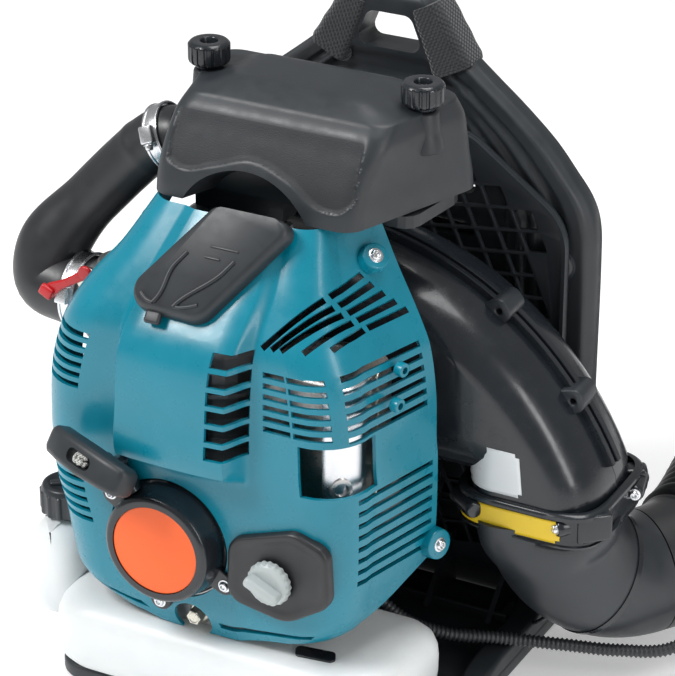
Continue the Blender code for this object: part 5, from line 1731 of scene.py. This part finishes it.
def straps():
    for side, word in ((-1, "left"), (1, "right")):
        route = resample(smooth_route([
            (side * 62, 139, 354), (side * 64, 158, 361), (side * 70, 174, 330), (side * 78, 180, 280),
            (side * 88, 178, 225), (side * 98, 168, 165)], 14), 4)
        rows = []
        count = len(route)
        for i, (point, along, across, out) in enumerate(strap_frames(route, None)):
            t = i / (count - 1)
            end = sqrt(max(0.02, 1 - (1 - min(t, 1 - t) / 0.05) ** 2)) if min(t, 1 - t) < 0.05 else 1
            wide = 25.5 * (0.7 + 0.3 * end) * (1 - 0.18 * ease(t, 0.75, 1))
            ring = rounded([(-wide, -3.6, 3.5), (wide, -3.6, 3.5), (wide, 3.6, 3.5), (-wide, 3.6, 3.5)], 4)
            rows.append([point + across * a + out * b for a, b in ring])
        mesh = puffed(f"strap_form_{word}", finish_mesh(rows_bm(rows), "strap"), 3.2, None, 0.004)
        pad = piece(f"strap_pad_{word}", mesh, STRAP_CLOTH, "frame", [f"shoulder_strap_{word}"])
        mesh.shade_smooth()
        for edge in (-1, 1):
            seam = [point + across * edge * 22 * (1 - 0.18 * ease(i / (count - 1), 0.75, 1))
                    for i, (point, along, across, out) in enumerate(strap_frames(route, None))][1:-1]
            binding = sweep_bm(seam, lambda d, a: 2.2 + 4.2 * abs(sin(a)) ** 3, 12)
            piece(f"strap_binding_{word}_{'inner' if edge * side < 0 else 'outer'}",
                  finish_mesh(binding, "binding", 60),
                  WEBBING, "frame")
        top = band_rows(route[2:-3], 12.5, 0.9, 0.6, 7.0)
        bm = rows_bm(top)
        add_uv(bm, top)
        piece(f"strap_ribbon_{word}", finish_mesh(bm, "ribbon", 50), WEBBING, "frame")
        stitches = []
        for point, along, across, out in strap_frames(route, None)[4:-5]:
            for edge in (-10.6, 10.6):
                turn = Matrix((across, along, out)).transposed()
                if turn.determinant() < 0:
                    turn = Matrix((-across, along, out)).transposed()
                stitches.append(block_bm(point + across * edge + out * 7.9, (0.8, 2.4, 0.7), turn, 0.25, 1))
        piece(f"strap_stitches_{word}", joined(stitches, "stitches"), THREAD, "frame")
        web = resample(smooth_route([
            (side * 99.4, 166, 157), (side * 117, 156, 105), (side * 125, 143, 58), (side * 126, 135, 30)], 14), 3)
        rows = band_rows(web, 12.5, 1.0, 0.7)
        bm = rows_bm(rows)
        add_uv(bm, rows)
        piece(f"webbing_{word}", finish_mesh(bm, "webbing", 50), WEBBING, "frame",
              [f"strap_webbing_{word}"])
        point, along, across, out = strap_frames(route, None)[-2]
        frame_outline = rounded([(-17, -14, 3), (17, -14, 3), (17, 12, 3), (-17, 12, 3)], 4)
        slots = [rounded([(-13.6, y - 2.4, 1), (13.6, y - 2.4, 1), (13.6, y + 2.4, 1), (-13.6, y + 2.4, 1)], 3)
                 for y in (-7.5, 5.5)]
        normal = across.cross(along)
        matrix = basis(across, along, normal, point + along * 6)
        piece(f"strap_buckle_{word}", joined([plate_bm([frame_outline, *slots], 5.5, matrix, 1.2)], "buckle"),
              GLOSS, "frame")
        anchors = []
        for place in ((side * 62, 133.5, 351), (side * 126, 132.6, 28)):
            anchors.append(block_bm(place, (34, 6.6, 20), None, 2.2, 3))
            anchors.append(screw_bm(Vector(place) + Vector((0, 3.6, 0)), (0, 1, 0), 4, 2))
        piece(f"strap_anchor_{word}", joined(anchors, "anchor"), SATIN, "frame")


# ---------------------------------------------------------------- carried-over CAD nodes
CARRIED = {
    "crankcase": ALLOY, "cylinder": ALLOY, "rocker_cover": ALLOY, "piston": ALLOY, "connecting_rod": STEEL,
    "crankshaft_front": STEEL, "crankshaft_rear": STEEL, "flywheel": ALLOY, "ignition_coil": MATTE,
    "spark_plug": STEEL, "spark_plug_cap": RUBBER, "intake_manifold": MATTE, "air_cleaner_base": MATTE,
    "air_cleaner_element": PAPER, "starter_reel": MATTE, "starter_rope": CORD, "fan": SATIN,
    "buffer_left": RUBBER, "buffer_top": RUBBER, "buffer_right": RUBBER,
}


def carried():
    for name, material in CARRIED.items():
        mesh = NODES[name].data
        mesh.materials.clear()
        mesh.materials.append(material)


# ---------------------------------------------------------------- studio
def floor_material():
    made = Finish("studio_floor")
    made.colour(made.noise(3, 3), (0.86, 0.865, 0.87), (0.9, 0.9, 0.905))
    made.rough(made.noise(60, 3), 0.7, 0.8)
    made.set(Emission_Color=(1, 1, 1, 1), Emission_Strength=0.32)
    return made.material


def area_light(name, place, target, size, power, colour=(1, 1, 1)):
    data = bpy.data.lights.new(name, "AREA")
    data.shape = "RECTANGLE"
    data.size, data.size_y = size
    data.energy = power
    data.color = colour
    obj = bpy.data.objects.new(name, data)
    obj.location = place
    obj.rotation_euler = (Vector(target) - Vector(place)).to_track_quat("-Z", "Y").to_euler()
    bpy.context.scene.collection.objects.link(obj)


def studio():
    bm = bmesh.new()
    bmesh.ops.create_grid(bm, x_segments=8, y_segments=8, size=6)
    mesh = finish_mesh(bm, "floor")
    floor_obj = bpy.data.objects.new("studio_floor", mesh)
    mesh.materials.append(floor_material())
    bpy.context.scene.collection.objects.link(floor_obj)
    floor_obj.location.z = -0.001
    world = bpy.data.worlds.new("studio")
    world.use_nodes = True
    nodes, links = world.node_tree.nodes, world.node_tree.links
    shown, shed, mix, ray = (nodes["Background"], nodes.new("ShaderNodeBackground"), nodes.new("ShaderNodeMixShader"),
                             nodes.new("ShaderNodeLightPath"))
    for background, strength in ((shown, 1.0), (shed, 0.33)):
        background.inputs["Color"].default_value = (1, 1, 1, 1)
        background.inputs["Strength"].default_value = strength
    links.new(ray.outputs["Is Camera Ray"], mix.inputs[0])
    links.new(shed.outputs[0], mix.inputs[1])
    links.new(shown.outputs[0], mix.inputs[2])
    links.new(mix.outputs[0], nodes["World Output"].inputs["Surface"])
    bpy.context.scene.world = world
    middle = (0.02, 0.0, 0.25)
    area_light("key", (-1.1, -1.3, 2.1), middle, (0.8, 0.8), 46)
    area_light("top", (0.3, 0.3, 2.3), middle, (1.4, 0.9), 24)
    area_light("side", (2.0, -0.5, 1.0), middle, (0.35, 1.4), 12)
    bpy.context.scene.view_settings.view_transform = "Standard"
    camera_data = bpy.data.cameras.new("camera")
    camera_data.lens = 160
    camera_data.sensor_width = 36
    camera = bpy.data.objects.new("camera", camera_data)
    bpy.context.scene.collection.objects.link(camera)
    azimuth, elevation, distance = radians(28), radians(26.3), 2.143
    target = Vector((0.0137, 0, 0.2516))
    camera.location = target + distance * Vector((sin(azimuth) * cos(elevation), -cos(azimuth) * cos(elevation),
                                                  sin(elevation)))
    camera.rotation_euler = (target - camera.location).to_track_quat("-Z", "Y").to_euler()
    bpy.context.scene.camera = camera


studio()
engine_cover()
cover_details()
air_cleaner_cover()
plug_cover()
oil_filler()
starter()
pull_handle()
fan_case()
elbow()
labels()
back_frame()
intake_screen()
base()
tank()
intake()
carburettor()
muffler()
bellows()
pipes()
control_handle()
throttle_conduit()
back_pad()
straps()
carried()
bpy.context.view_layer.update()
